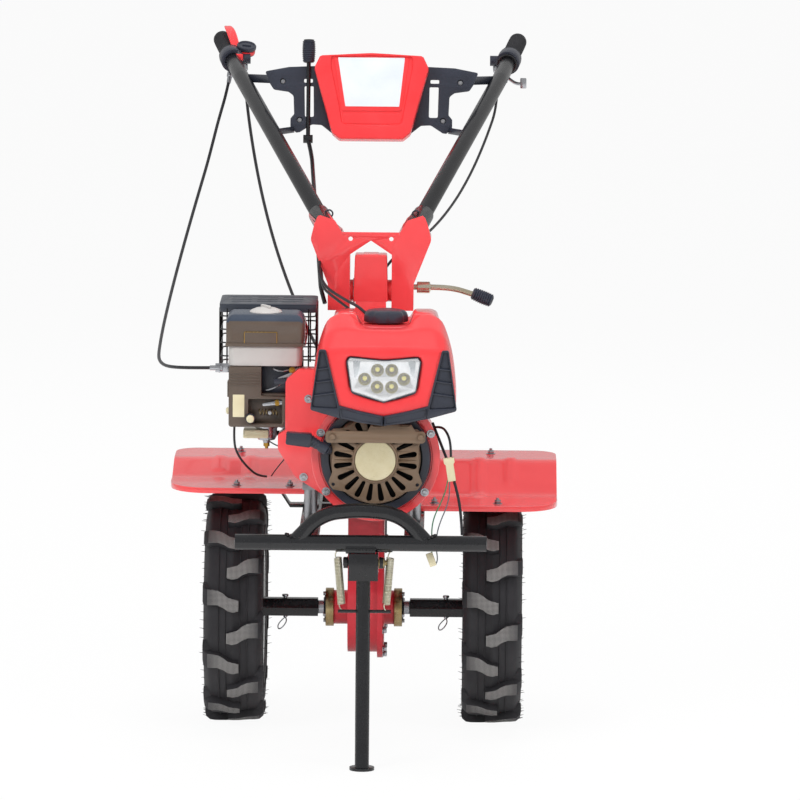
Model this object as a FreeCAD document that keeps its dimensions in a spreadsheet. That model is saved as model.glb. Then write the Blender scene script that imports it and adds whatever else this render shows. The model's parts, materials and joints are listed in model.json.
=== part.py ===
# Power weeder: a walk-behind machine with a two-wheel gearbox, a small petrol engine
# in front of it and a long handlebar behind.
#
# Frame: millimetres, +Z up, the front of the machine towards -Y, +X to the right when
# the machine is seen from the front. The origin is on the floor, under the middle of
# the bounding box. Every sub-part is drawn with the wheel axle at Y = 0 and then moved
# by the sheet's axle_y.

import FreeCAD, Part
import math
import os
import Sketcher

Vector = FreeCAD.Vector

SIZES = [
    # overall places
    ("axle_y", -251.2, "axle, along Y in the finished frame"),
    ("track", 468, "between the middles of the tyres"),
    ("crank_x", 24, "crankshaft, across"),
    ("crank_z", 541, "crankshaft, height"),
    ("running_gap", 0.05, "radial, shaft in its bearing"),
    ("pivot_gap", 0.2, "radial, stand on its pivot bolt"),
    ("seat_gap", 0.3, "between pieces that seat on each other"),
    # wheels
    ("tyre_radius", 210, ""),
    ("tyre_width", 110, ""),
    ("tyre_wall", 10, ""),
    ("bead_radius", 102, "where the tyre sits on the rim"),
    ("bead_width", 86, ""),
    ("rim_flange", 11, "height of the rim's edge over the bead seat"),
    ("rim_sheet", 3, ""),
    ("rim_well", 14, "depth of the drop centre"),
    ("disc_thick", 4, "wheel disc"),
    ("disc_bore", 26, "radius of the hole in the wheel disc"),
    ("hub_flange", 60, "radius"),
    ("hub_thick", 8, ""),
    ("sleeve_across", 32, "hexagonal wheel sleeve, across flats"),
    ("sleeve_start", 84, "inner end of the sleeve from the middle"),
    ("sleeve_over", 34, "how far the sleeve runs past the wheel disc"),
    ("shaft_across", 23, "hexagonal axle, across flats"),
    ("journal_step", 1.72, "round part of the axle, over the corners of the hexagon"),
    ("pin_hole", 4, "radius of the holes for the wheel pins"),
    # gearbox
    ("case_x", 6, "middle of the case, across"),
    ("case_half", 35, "half the thickness of the case"),
    ("case_radius", 80, "case around the axle"),
    ("case_top", 640, ""),
    ("case_neck", 58, "half the depth of the upper case"),
    ("case_joint_thick", 10, "flange between the two halves"),
    ("case_joint_out", 9, "how far that flange stands out"),
    ("boss_radius", 31, "axle boss on the case"),
    ("boss_end", 55, "outer end of the boss from the middle"),
    ("cap_radius", 35, "bearing cap"),
    ("cap_thick", 15, ""),
    ("hitch_face", 92, "rear face of the gearbox that carries the hitch"),
    ("hitch_z", 340, "middle of the hitch"),
    ("hitch_bore", 8.5, "radius of the drawbar pin's hole"),
    # clutch housing
    ("bell_front", -158, "engine end of the clutch housing"),
    ("bell_back", -72, "gearbox end of the clutch housing"),
    ("bell_radius", 84, ""),
    ("bell_nose", 62, "radius at the gearbox"),
    # engine
    ("block_back", -158, ""),
    ("block_front", -300, ""),
    ("block_half", 86, "half the width of the crankcase"),
    ("block_low", 470, ""),
    ("block_high", 640, ""),
    ("foot_radius", 11, "engine foot spacers"),
    ("foot_front", -286, "front feet, along Y"),
    ("foot_rear", -212, "rear feet, along Y"),
    ("deck", 80, "cylinder deck, from the crankshaft"),
    ("rail_x", 93, "frame rail, from the middle"),
    ("rail_width", 34, ""),
    ("rail_height", 24, ""),
    ("rail_top", 414, ""),
    ("rail_back", 96, "rear end of the rails"),
    ("cylinder_tilt", 25, "degrees above level"),
    ("cylinder_y", -214, ""),
    ("barrel_radius", 38, ""),
    ("fin_half", 48, "half the size of a cooling fin"),
    ("fin_thick", 2.4, ""),
    ("fin_pitch", 8, ""),
    ("fin_count", 8, ""),
    ("fin_start", 84, "first fin, from the crankshaft"),
    ("head_start", 148, "from the crankshaft"),
    ("head_end", 176, ""),
    ("cover_end", 200, "end of the rocker cover"),
    ("head_half", 42, ""),
    # recoil starter and shroud
    ("shroud_back", -300, ""),
    ("shroud_front", -378, ""),
    ("shroud_radius", 112, ""),
    ("arm_front", -345, "front of the arm beside the fan"),
    ("recoil_radius", 93, ""),
    ("recoil_face", -420, "front of the starter cover"),
    ("recoil_slot_in", 44, "inner end of the slots, radius"),
    ("recoil_slot_out", 72, "outer end of the slots, radius"),
    ("recoil_slot_width", 7, ""),
    ("recoil_slots", 20, ""),
    ("recoil_hub", 34, "radius of the middle disc"),
    ("recoil_sheet", 3, ""),
    # tank, mask and lamp
    ("cowl_x", 38, "middle of tank and mask"),
    ("tank_back", -116, ""),
    ("tank_front", -345, ""),
    ("tank_half", 92, ""),
    ("tank_low", 664, ""),
    ("tank_high", 792, ""),
    ("tank_valley", 766, "floor of the dip for the cap"),
    ("cap_dip", 46, "half the width of the dip"),
    ("fuel_cap_radius", 40, ""),
    ("fuel_cap_height", 22, ""),
    ("fuel_cap_y", -240, ""),
    ("mask_front", -442, ""),
    ("mask_back", -345.3, ""),
    ("mask_sheet", 3, ""),
    ("mask_top", 792, ""),
    ("mask_crease", 746, "where the sloping top meets the front"),
    ("mask_low_half", 127, ""),
    ("mask_top_half", 91, ""),
    ("mask_low", 638, ""),
    ("mask_point", 621, "lowest point of the mask, in the middle"),
    ("trim_thick", 6, ""),
    ("trim_point", 605, "lowest point of the black trim"),
    ("lamp_half", 66, ""),
    ("lamp_high", 727, ""),
    ("lamp_low", 648, ""),
    ("lamp_out", 6, "how far the lamp stands out of the mask"),
    ("lamp_depth", 34, ""),
    # air cleaner, carburettor and muffler
    ("cleaner_left", -243, ""),
    ("cleaner_right", -106, ""),
    ("cleaner_front", -335, ""),
    ("cleaner_back", -232, ""),
    ("cleaner_low", 696, ""),
    ("cleaner_joint", 731, ""),
    ("cleaner_high", 787, ""),
    ("control_left", -240, ""),
    ("control_right", -140, ""),
    ("control_low", 586, ""),
    ("control_front", -335, ""),
    ("control_back", -298, ""),
    ("guard_left", -262, ""),
    ("guard_right", -86, ""),
    ("guard_front", -196, ""),
    ("guard_back", -52, ""),
    ("guard_low", 668, ""),
    ("guard_high", 790, ""),
    ("guard_sheet", 2, ""),
    # bumper and stand
    ("bumper_y", -470, ""),
    ("bumper_z", 402, ""),
    ("bumper_tube", 14, "radius"),
    ("bumper_half", 221, ""),
    ("arch_half", 118, ""),
    ("arch_rise", 55, ""),
    ("arch_tube", 13, "radius"),
    ("stand_x", 5, "middle of the stand, across"),
    ("stand_pivot_z", 367, ""),
    ("stand_tube", 12.5, "radius"),
    ("stand_lean", 14, "how far the foot stands ahead of the pivot"),
    ("bracket_half", 26, ""),
    ("bracket_sheet", 4, ""),
    ("pivot_bolt", 6, "radius"),
    ("foot_pad", 22, "radius"),
    ("foot_pad_thick", 5, ""),
    # fenders
    ("fender_in", 100, "inner edge from the middle"),
    ("fender_out", 350, "outer edge from the middle"),
    ("fender_sheet", 2.5, ""),
    ("fender_lip", 10, ""),
    ("fender_corner", 72, "how far the rounded front corner reaches across"),
    ("fender_high", 478, ""),
    ("fender_low", 455, ""),
    ("fender_dip", 29, "how much lower the left fender's front sits"),
    # handle post and handlebar
    ("hinge_y", 30, ""),
    ("hinge_z", 790, ""),
    ("post_x", 8, "middle of post and handlebar bracket, across"),
    ("post_half", 31, "at the bottom"),
    ("post_top_half", 26, ""),
    ("post_depth", 50, ""),
    ("post_top", 858, ""),
    ("clamp_bolt", 7, "radius"),
    ("clamp_boss", 20, "radius of the bosses around the clamp bolt"),
    ("wing_sheet", 4, ""),
    ("wing_depth", 62, ""),
    ("wing_front", -2, "front of the bracket, along Y"),
    ("wing_gap", 38, "inner face of the wing from the post's middle"),
    ("wing_low", 757, ""),
    ("wing_wide", 110, "widest point of the wing from the post's middle"),
    ("tube_radius", 15, "handle tube"),
    ("socket_x", 93, ""),
    ("socket_y", 92, ""),
    ("socket_z", 918, ""),
    ("bend_x", 248, ""),
    ("bend_y", 745, ""),
    ("bend_z", 1116, ""),
    ("grip_x", 290, ""),
    ("bar_sway", -18, "how far the handlebar's rear end sits towards the right"),
    ("grip_y", 1000, ""),
    ("grip_z", 1170, ""),
    ("grip_wall", 2.5, "soft grip around the tube"),
    ("grip_length", 118, ""),
    # dashboard
    ("dash_top_half", 106, ""),
    ("dash_low_half", 74, ""),
    ("dash_height", 165, ""),
    ("dash_depth", 46, ""),
    ("dash_y", 545, ""),
    ("dash_low_z", 1016, ""),
    ("dash_lean", 12, "degrees, top leaning back"),
    ("dash_plate", 4, ""),
]

doc = FreeCAD.newDocument("PowerWeeder")
sheet = doc.addObject("Spreadsheet::Sheet", "Sizes")
for row, (alias, value, note) in enumerate(SIZES, start=1):
    sheet.set(f"A{row}", alias)
    sheet.set(f"B{row}", str(value))
    sheet.set(f"C{row}", note)
    sheet.setAlias(f"B{row}", alias)
doc.recompute()


class Size:
    """A number together with the sheet expression that gives it."""

    def __init__(self, value, text):
        self.value = float(value)
        self.text = text

    def join(self, sign, other, value, swapped=False):
        first, last = self.text, as_size(other).text
        if swapped:
            first, last = last, first
        return Size(value, f"({first} {sign} {last})")

    def __add__(self, other):
        return self.join("+", other, self.value + as_size(other).value)

    def __radd__(self, other):
        return as_size(other) + self

    def __sub__(self, other):
        return self.join("-", other, self.value - as_size(other).value)

    def __rsub__(self, other):
        return as_size(other) - self

    def __mul__(self, other):
        return self.join("*", other, self.value * as_size(other).value)

    def __rmul__(self, other):
        return self * other

    def __truediv__(self, other):
        return self.join("/", other, self.value / as_size(other).value)

    def __neg__(self):
        return self * -1


def as_size(number):
    if isinstance(number, Size):
        return number
    return Size(number, f"({float(number)!r})")


class Sheet:
    """Reads the spreadsheet's cells by alias, as Size values."""

    def __getattr__(self, alias):
        return Size(float(sheet.get(alias)), f"Sizes.{alias}")


s = Sheet()
nodes = []


def bind(item, name, size):
    item.setExpression(name, as_size(size).text)


def shift(item, x=0, y=0, z=0, axis=None, angle=0):
    """Moves an object, and turns it about an axis through its own origin."""
    if axis is not None:
        turn = FreeCAD.Rotation(Vector(*axis), as_size(angle).value)
        item.Placement = FreeCAD.Placement(Vector(0, 0, 0), turn)
        if isinstance(angle, Size):
            bind(item, "Placement.Rotation.Angle", angle)
    bind(item, "Placement.Base.x", x)
    bind(item, "Placement.Base.y", y)
    bind(item, "Placement.Base.z", z)


def place(item, x=0, y=0, z=0, axis=None, angle=0):
    """Puts a finished object in the frame, at a point given with the axle at Y = 0."""
    shift(item, x, s.axle_y + y, z, axis, angle)


def node(item, label):
    item.Label = label
    nodes.append(item)
    return item


# ---------------------------------------------------------------- sketch helpers

PLANES = {"front": ("XZ_Plane", -1), "side": ("YZ_Plane", 1), "top": ("XY_Plane", 1)}


def new_body(label):
    body = doc.addObject("PartDesign::Body", label + "_body")
    return node(body, label)


def new_sketch(body, plane, at=0):
    """A sketch on a plane of the body: front is XZ, side is YZ, top is XY."""
    role, sign = PLANES[plane]
    sketch = body.newObject("Sketcher::SketchObject", body.Name + "_sketch")
    origin_plane = [item for item in body.Origin.OriginFeatures if item.Role == role][0]
    sketch.AttachmentSupport = (origin_plane, "")
    sketch.MapMode = "FlatFace"
    bind(sketch, "AttachmentOffset.Base.z", as_size(at) * sign)
    return sketch


def fix(sketch, kind, geometry, point, size):
    """Holds a point of the sketch at a distance from its origin."""
    number = as_size(size)
    index = sketch.addConstraint(Sketcher.Constraint(kind, -1, 1, geometry, point, number.value))
    if isinstance(size, Size):
        sketch.setExpression(f"Constraints[{index}]", number.text)


def corner_arc(before, corner, after, radius):
    """The arc that rounds a corner, with its two ends."""
    to_before = (before - corner).normalize()
    to_after = (after - corner).normalize()
    half = to_before.getAngle(to_after) / 2
    along = radius / math.tan(half)
    start = corner + to_before * along
    end = corner + to_after * along
    centre = corner + (to_before + to_after).normalize() * (radius / math.sin(half))
    middle = centre + (corner - centre).normalize() * radius
    return Part.Arc(start, middle, end), start, end


def outline(sketch, corners):
    """A closed outline of straight sides. A corner is (across, up) or (across, up, radius)."""
    points = [Vector(as_size(c[0]).value, as_size(c[1]).value, 0) for c in corners]
    count = len(corners)
    starts, ends, arcs = [], [], []
    for i, corner in enumerate(corners):
        if len(corner) == 3:
            arc, start, end = corner_arc(points[i - 1], points[i], points[(i + 1) % count],
                                         as_size(corner[2]).value)
        else:
            arc, start, end = None, points[i], points[i]
        arcs.append(arc)
        ends.append(start)
        starts.append(end)
    lines = []
    for i in range(count):
        line = Part.LineSegment(starts[i], ends[(i + 1) % count])
        lines.append(sketch.addGeometry(line, False))
    for i, corner in enumerate(corners):
        before, after = lines[i - 1], lines[i]
        if arcs[i] is None:
            sketch.addConstraint(Sketcher.Constraint("Coincident", before, 2, after, 1))
            fix(sketch, "DistanceX", after, 1, corner[0])
            fix(sketch, "DistanceY", after, 1, corner[1])
            continue
        arc = sketch.addGeometry(arcs[i], False)
        at_start = sketch.getPoint(arc, 1).distanceToPoint(ends[i]) < 1e-6
        first, last = (1, 2) if at_start else (2, 1)
        mark = sketch.addGeometry(Part.Point(points[i]), True)
        sketch.addConstraint(Sketcher.Constraint("Tangent", before, 2, arc, first))
        sketch.addConstraint(Sketcher.Constraint("Tangent", arc, last, after, 1))
        sketch.addConstraint(Sketcher.Constraint("PointOnObject", mark, 1, before))
        sketch.addConstraint(Sketcher.Constraint("PointOnObject", mark, 1, after))
        fix(sketch, "DistanceX", mark, 1, corner[0])
        fix(sketch, "DistanceY", mark, 1, corner[1])
        radius = as_size(corner[2])
        index = sketch.addConstraint(Sketcher.Constraint("Radius", arc, radius.value))
        if isinstance(corner[2], Size):
            sketch.setExpression(f"Constraints[{index}]", radius.text)
    return sketch


def circle(sketch, across, up, radius):
    centre = Vector(as_size(across).value, as_size(up).value, 0)
    size = as_size(radius)
    ring = sketch.addGeometry(Part.Circle(centre, Vector(0, 0, 1), size.value), False)
    fix(sketch, "DistanceX", ring, 3, across)
    fix(sketch, "DistanceY", ring, 3, up)
    index = sketch.addConstraint(Sketcher.Constraint("Radius", ring, size.value))
    if isinstance(radius, Size):
        sketch.setExpression(f"Constraints[{index}]", size.text)
    return sketch


def mirrored(corners):
    """Completes an outline that is drawn from the bottom up on its +across side."""
    back = [(-as_size(c[0]),) + tuple(c[1:]) for c in reversed(corners)]
    return list(corners) + back


def feature(body, kind, sketch, **settings):
    """A pad, pocket, revolution or groove of a sketch."""
    made = body.newObject("PartDesign::" + kind, f"{body.Name}_{kind.lower()}")
    made.Profile = sketch
    sketch.Visibility = False
    for name, value in settings.items():
        if isinstance(value, Size):
            bind(made, name, value)
        else:
            setattr(made, name, value)
    return made


def pad(body, sketch, length, **settings):
    return feature(body, "Pad", sketch, Length=as_size(length), **settings)


def pocket(body, sketch, length, **settings):
    return feature(body, "Pocket", sketch, Length=as_size(length), **settings)


def hole_through(body, sketch):
    return feature(body, "Pocket", sketch, Type="ThroughAll", Midplane=True)


def revolve(body, sketch, axis, kind="Revolution"):
    return feature(body, kind, sketch, ReferenceAxis=(sketch, [axis]), Angle=360.0)


def around(body, features, axis_role, count, angle=360.0):
    """Repeats features around an axis of the body."""
    made = body.newObject("PartDesign::PolarPattern", body.Name + "_polar")
    made.Originals = features
    axis = [item for item in body.Origin.OriginFeatures if item.Role == axis_role][0]
    made.Axis = (axis, [""])
    made.Angle = angle
    bind(made, "Occurrences", count)
    body.Tip = made
    return made


def along(body, features, axis_role, length, count):
    """Repeats features along an axis of the body."""
    made = body.newObject("PartDesign::LinearPattern", body.Name + "_row")
    made.Originals = features
    axis = [item for item in body.Origin.OriginFeatures if item.Role == axis_role][0]
    made.Direction = (axis, [""])
    bind(made, "Length", length)
    bind(made, "Occurrences", count)
    body.Tip = made
    return made


def hexagon(sketch, across_flats):
    """A hexagon about the sketch's origin, with two flats level."""
    half = as_size(across_flats) / 2
    side = as_size(across_flats) / math.sqrt(3)
    return outline(sketch, [(side, 0), (side / 2, half), (-side / 2, half),
                            (-side, 0), (-side / 2, -half), (side / 2, -half)])


# ------------------------------------------------------------- primitive helpers

def slab(x, y, z):
    """A box between pairs of limits, with the axle at Y = 0."""
    made = doc.addObject("Part::Box", "Slab")
    bind(made, "Length", as_size(x[1]) - x[0])
    bind(made, "Width", as_size(y[1]) - y[0])
    bind(made, "Height", as_size(z[1]) - z[0])
    bind(made, "Placement.Base.x", x[0])
    bind(made, "Placement.Base.y", y[0])
    bind(made, "Placement.Base.z", z[0])
    return made


TURNS = {"X": ((0, 1, 0), 90), "Y": ((1, 0, 0), -90), "Z": ((0, 0, 1), 0)}


def rod(axis, start, length, radius, top_radius=None):
    """A round bar from a start point along +X, +Y or +Z, or a cone if it has a top radius."""
    if top_radius is None:
        made = doc.addObject("Part::Cylinder", "Rod")
        bind(made, "Radius", radius)
    else:
        made = doc.addObject("Part::Cone", "Taper")
        bind(made, "Radius1", radius)
        bind(made, "Radius2", top_radius)
    bind(made, "Height", length)
    turn_axis, angle = TURNS[axis]
    made.Placement = FreeCAD.Placement(Vector(), FreeCAD.Rotation(Vector(*turn_axis), angle))
    bind(made, "Placement.Base.x", start[0])
    bind(made, "Placement.Base.y", start[1])
    bind(made, "Placement.Base.z", start[2])
    return made


def fuse(*items):
    made = doc.addObject("Part::MultiFuse", "Joined")
    made.Shapes = list(items)
    made.Refine = True
    return made


def cut(base, *tools):
    made = doc.addObject("Part::Cut", "Trimmed")
    made.Base = base
    made.Tool = tools[0] if len(tools) == 1 else fuse(*tools)
    made.Refine = True
    return made


def group(*items):
    """Separate solids that share a node."""
    made = doc.addObject("Part::Compound", "Group")
    made.Links = list(items)
    return made


def number(size):
    return as_size(size).value


def route_wire(points, radii=None):
    """Straight runs joined by tangent arcs, each as large as its two runs allow."""
    corners = [Vector(*[number(value) for value in point]) for point in points]
    edges = []
    used = []
    start = corners[0]
    for i in range(1, len(corners) - 1):
        before, corner, after = corners[i - 1], corners[i], corners[i + 1]
        turn = math.pi - (before - corner).getAngle(after - corner)
        run = min((corner - before).Length, (after - corner).Length)
        radius = 0.45 * run / math.tan(turn / 2)
        if radii:
            radius = min(radius, radii)
        arc, arc_start, arc_end = corner_arc(before, corner, after, radius)
        edges.append(Part.LineSegment(start, arc_start).toShape())
        edges.append(arc.toShape())
        start = arc_end
        used.append(radius)
    edges.append(Part.LineSegment(start, corners[-1]).toShape())
    return Part.Wire(edges), used


def sweep_shape(points, radius, radii=None):
    """A round bar along a route."""
    wire, used = route_wire(points, radii)
    first = wire.Edges[0]
    start = first.valueAt(first.FirstParameter)
    direction = first.tangentAt(first.FirstParameter)
    ring = Part.Wire([Part.Circle(start, direction, number(radius)).toShape()])
    solid = wire.makePipeShell([ring], True, False)
    wanted = math.pi * number(radius) ** 2 * wire.Length
    if abs(solid.Volume - wanted) > 0.01 * wanted:
        raise ValueError(f"a swept bar has volume {solid.Volume:.0f}, not {wanted:.0f}")
    return solid, used, wire.Length


def swept(points, radius, radii=None):
    made = doc.addObject("Part::Feature", "Swept")
    made.Shape = sweep_shape(points, radius, radii)[0]
    return made


def cord(label, radius, points):
    """A flexible cord's own solid, with its arc radii printed."""
    made = doc.addObject("Part::Feature", label + "_cord")
    made.Shape, used, length = sweep_shape(points, radius)
    print(f"{label}: {length:.0f} mm, smallest arc {min(used):.0f} mm,"
          f" {min(used) / (2 * number(radius)):.1f} diameters")
    place(made)
    return node(made, label)


# -------------------------------------------------------------------- drive axle

SIDES = {"left": 1, "right": -1}


def turned(side):
    """Half a turn about Z for the pieces on the machine's right."""
    return {"axis": (0, 0, 1), "angle": 0 if side > 0 else 180}


def journal():
    """Radius of the round part of the axle."""
    return s.shaft_across / math.sqrt(3) + s.journal_step


def axle_shaft():
    body = new_body("axle_shaft")
    hexagon_length = s.track + s.sleeve_over * 2
    pad(body, hexagon(new_sketch(body, "side"), s.shaft_across), hexagon_length, Midplane=True)
    journal_length = (s.boss_end + s.cap_thick + 3) * 2
    pad(body, circle(new_sketch(body, "side"), 0, 0, journal()), journal_length, Midplane=True)
    place(body, 0, 0, s.tyre_radius)


def tyre(name, side):
    body = new_body("tyre_" + name)
    half = s.tyre_width / 2
    bead = s.bead_width / 2
    inner = half - s.tyre_wall
    right = [
        (bead - 10, s.bead_radius),
        (bead, s.bead_radius),
        (half, s.bead_radius + 34, 36),
        (half, s.tyre_radius - 16, 10),
        (half - 17, s.tyre_radius),
    ]
    left = [(-x, *rest) for x, *rest in reversed(right)]
    hollow = [
        (-bead + 10, s.bead_radius + 16),
        (-inner, s.bead_radius + 40),
        (-inner, s.tyre_radius - 24),
        (-inner + 12, s.tyre_radius - s.tyre_wall),
    ]
    hollow_right = [(-x, *rest) for x, *rest in reversed(hollow)]
    revolve(body, outline(new_sketch(body, "front"), right + left + hollow + hollow_right), "H_Axis")
    place(body, s.track / 2 * side, 0, s.tyre_radius)


def rim(name, side):
    body = new_body("rim_" + name)
    seat = s.bead_radius - s.seat_gap
    edge = s.bead_width / 2 + s.seat_gap
    top = s.bead_radius + s.rim_flange
    well = seat - s.rim_well
    sheet_thick = s.rim_sheet
    upper = [
        (edge + 4 + sheet_thick, top),
        (edge + 4, top),
        (edge, seat),
        (edge - 15, seat),
        (edge - 23, well),
    ]
    upper_left = [(-x, *rest) for x, *rest in reversed(upper)]
    lower = [
        (-edge - sheet_thick, seat - sheet_thick),
        (-edge + 13, seat - sheet_thick),
        (-edge + 21, well - sheet_thick),
    ]
    lower_right = [(-x, *rest) for x, *rest in reversed(lower)]
    profile = upper + upper_left + lower + lower_right
    revolve(body, outline(new_sketch(body, "front"), profile), "H_Axis")
    disc = circle(new_sketch(body, "side"), 0, 0, well - sheet_thick / 2)
    circle(disc, 0, 0, s.disc_bore)
    pad(body, disc, s.disc_thick, Midplane=True)
    place(body, s.track / 2 * side, 0, s.tyre_radius)


def hub(name, side):
    """Flange on the inner face of the wheel disc, and the hexagonal sleeve on the axle."""
    body = new_body("hub_" + name)
    sleeve_in = s.track / 2 - s.sleeve_start
    sleeve = new_sketch(body, "side", -sleeve_in)
    pad(body, hexagon(sleeve, s.sleeve_across), sleeve_in + s.sleeve_over)
    flange = new_sketch(body, "side", -s.disc_thick / 2 - s.hub_thick)
    pad(body, circle(flange, 0, 0, s.hub_flange), s.hub_thick)
    collar = new_sketch(body, "side", -s.disc_thick / 2 - s.hub_thick - 16)
    pad(body, circle(collar, 0, 0, s.sleeve_across / 2 + 8), 17)
    bore = hexagon(new_sketch(body, "side"), s.shaft_across + s.seat_gap * 2)
    hole_through(body, bore)
    place(body, s.track / 2 * side, 0, s.tyre_radius, **turned(side))


# ----------------------------------------------------------- gearbox and housing

def case_outline(sketch, out=0):
    """Side view of the gearbox: round about the axle, with a narrower upper case."""
    low = s.tyre_radius - s.case_radius - out
    wide = s.case_radius + out
    neck = s.case_neck + out
    return outline(sketch, [
        (-wide, low, 70),
        (wide, low, 70),
        (wide, s.tyre_radius + 40, 60),
        (neck, s.tyre_radius + 120, 60),
        (neck, s.case_top, 18),
        (-neck, s.case_top, 18),
        (-neck, s.tyre_radius + 120, 60),
        (-wide, s.tyre_radius + 40, 60),
    ])


def gearbox_case():
    body = new_body("gearbox_case")
    start = s.case_x - s.case_half
    pad(body, case_outline(new_sketch(body, "side", start)), s.case_half * 2 - 4)
    joint_at = s.case_x + s.case_half - s.case_joint_thick - 6
    joint_sketch = case_outline(new_sketch(body, "side", joint_at), s.case_joint_out)
    pad(body, joint_sketch, s.case_joint_thick)
    bosses = circle(new_sketch(body, "side", -s.boss_end), 0, s.tyre_radius, s.boss_radius)
    pad(body, bosses, s.boss_end * 2)
    seat = circle(new_sketch(body, "front", -s.case_neck + 6), s.crank_x, s.crank_z, s.bell_nose)
    pad(body, seat, -s.bell_back - s.case_neck + 6)
    hitch_seat = new_sketch(body, "front", s.hitch_face)
    outline(hitch_seat, [(s.case_x - 26, s.hitch_z - 38, 6), (s.case_x + 22, s.hitch_z - 38, 6),
                         (s.case_x + 22, s.hitch_z + 38, 6), (s.case_x - 26, s.hitch_z + 38, 6)])
    pad(body, hitch_seat, s.hitch_face - 20)
    hole_through(body, circle(new_sketch(body, "side"), 0, s.tyre_radius, journal() + 1))
    place(body)


def bearing_caps():
    caps = []
    for side in SIDES.values():
        start = s.boss_end if side > 0 else -s.boss_end - s.cap_thick
        ring = rod("X", (start, 0, s.tyre_radius), s.cap_thick, s.cap_radius)
        bore = rod("X", (start - 1, 0, s.tyre_radius), s.cap_thick + 2, journal() + s.running_gap)
        caps.append(cut(ring, bore))
    place(node(group(*caps), "bearing_caps"))


def clutch_housing():
    body = new_body("clutch_housing")
    nose = s.bell_back
    revolve(body, outline(new_sketch(body, "side"), [
        (s.bell_front, 0),
        (s.bell_front, s.bell_radius),
        (s.bell_front + 14, s.bell_radius),
        (s.bell_front + 22, s.bell_radius - 10, 8),
        (nose - 16, s.bell_nose, 10),
        (nose, s.bell_nose),
        (nose, 0),
    ]), "H_Axis")
    arm = circle(new_sketch(body, "top", 30), -48, -104, 6)
    pad(body, arm, 86)
    place(body, s.crank_x, 0, s.crank_z)


def rear_hitch():
    """Drawbar fork on the back of the gearbox, with its upright pin hole."""
    back = s.hitch_face
    middle = s.hitch_z
    plate = slab((s.case_x - 34, s.case_x + 34), (back, back + 10), (middle - 44, middle + 44))
    ears = slab((s.case_x - 24, s.case_x + 24), (back + 9, back + 68), (middle - 26, middle + 26))
    gap = slab((s.case_x - 25, s.case_x + 25), (back + 20, back + 69), (middle - 14, middle + 14))
    hole = rod("Z", (s.case_x, back + 46, middle - 30), 60, s.hitch_bore)
    place(node(cut(fuse(plate, ears), gap, hole), "rear_hitch"))


# ------------------------------------------------------------------------ engine

def engine_block():
    """Crankcase with a sloping cylinder deck, on four feet, with stays for the tank."""
    case = doc.addObject("PartDesign::Body", "crankcase")
    tilt = math.radians(number(s.cylinder_tilt))
    deck_x = -s.deck * math.cos(tilt)
    deck_z = s.deck * math.sin(tilt)
    high = s.block_high - s.crank_z
    low = s.block_low - s.crank_z
    rise = (high - deck_z) * math.tan(tilt)
    drop = 52 * math.sin(tilt)
    pad(case, outline(new_sketch(case, "front", s.block_back), [
        (deck_x - drop, low, 10),
        (s.block_half, low, 10),
        (s.block_half, high, 14),
        (deck_x + rise, high),
        (deck_x - drop, deck_z - 52 * math.cos(tilt)),
    ]), s.block_back - s.block_front)
    bind(case, "Placement.Base.x", s.crank_x)
    bind(case, "Placement.Base.z", s.crank_z)
    base = slab((-s.rail_x - 14, s.rail_x + 14), (s.foot_front - 13, s.foot_rear + 14),
                (s.block_low, s.block_low + 10))
    feet = [rod("Z", (s.rail_x * side, along_y, s.rail_top), s.block_low - s.rail_top + 2, s.foot_radius)
            for side in SIDES.values() for along_y in (s.foot_front, s.foot_rear)]
    stays = [slab((s.cowl_x - 60, s.cowl_x + 60), (y, y + 16), (s.block_high - 2, s.tank_low))
             for y in (s.block_front + 10, s.block_back - 30)]
    place(node(fuse(case, base, *feet, *stays), "engine_block"))


def cylinder():
    """Finned barrel, head and rocker cover on a sloping axis, drawn along +X."""
    body = new_body("cylinder")
    near = s.deck
    pad(body, circle(new_sketch(body, "side", near), 0, 0, s.barrel_radius), s.head_start - near)
    half = s.fin_half
    fin = outline(new_sketch(body, "side", s.fin_start), [
        (half, -half, 14), (half, half, 14), (-half, half, 14), (-half, -half, 14)])
    first = pad(body, fin, s.fin_thick)
    along(body, [first], "X_Axis", s.fin_pitch * (s.fin_count - 1), s.fin_count)
    half = s.head_half
    head = outline(new_sketch(body, "side", s.head_start), [
        (half, -half, 6), (half, half, 6), (-half, half, 6), (-half, -half, 6)])
    pad(body, head, s.head_end - s.head_start)
    half = s.head_half - 6
    cover = outline(new_sketch(body, "side", s.head_end), [
        (half, -half, 12), (half, half, 12), (-half, half, 12), (-half, -half, 12)])
    pad(body, cover, s.cover_end - s.head_end)
    place(body, s.crank_x, s.cylinder_y, s.crank_z, axis=(0, 1, 0), angle=s.cylinder_tilt + 180)


def fan_shroud():
    """Pressed housing round the fan, with an arm that leads air over the cylinder."""
    body = new_body("fan_shroud")
    depth = s.shroud_back - s.shroud_front
    pad(body, circle(new_sketch(body, "front", s.shroud_back), 0, 0, s.shroud_radius), depth)
    beside = s.control_right - s.crank_x + 3
    top = s.cleaner_low - s.crank_z - 4
    under = s.control_low - s.crank_z - 3
    arm = outline(new_sketch(body, "front", s.shroud_back), [
        (-62, -92, 8),
        (-142, -42, 20),
        (-174, 8, 14),
        (-174, under - 8, 6),
        (beside, under, 3),
        (beside, top - 20, 14),
        (beside + 22, top, 8),
        (-92, top, 10),
        (-86, 60),
        (0, 60),
        (0, -92),
    ])
    pad(body, arm, s.shroud_back - s.arm_front)
    cavity = circle(new_sketch(body, "front", s.shroud_front + 40), 0, 0, s.recoil_radius - 4)
    pocket(body, cavity, 42, Reversed=True)
    place(body, s.crank_x, 0, s.crank_z)


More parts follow.
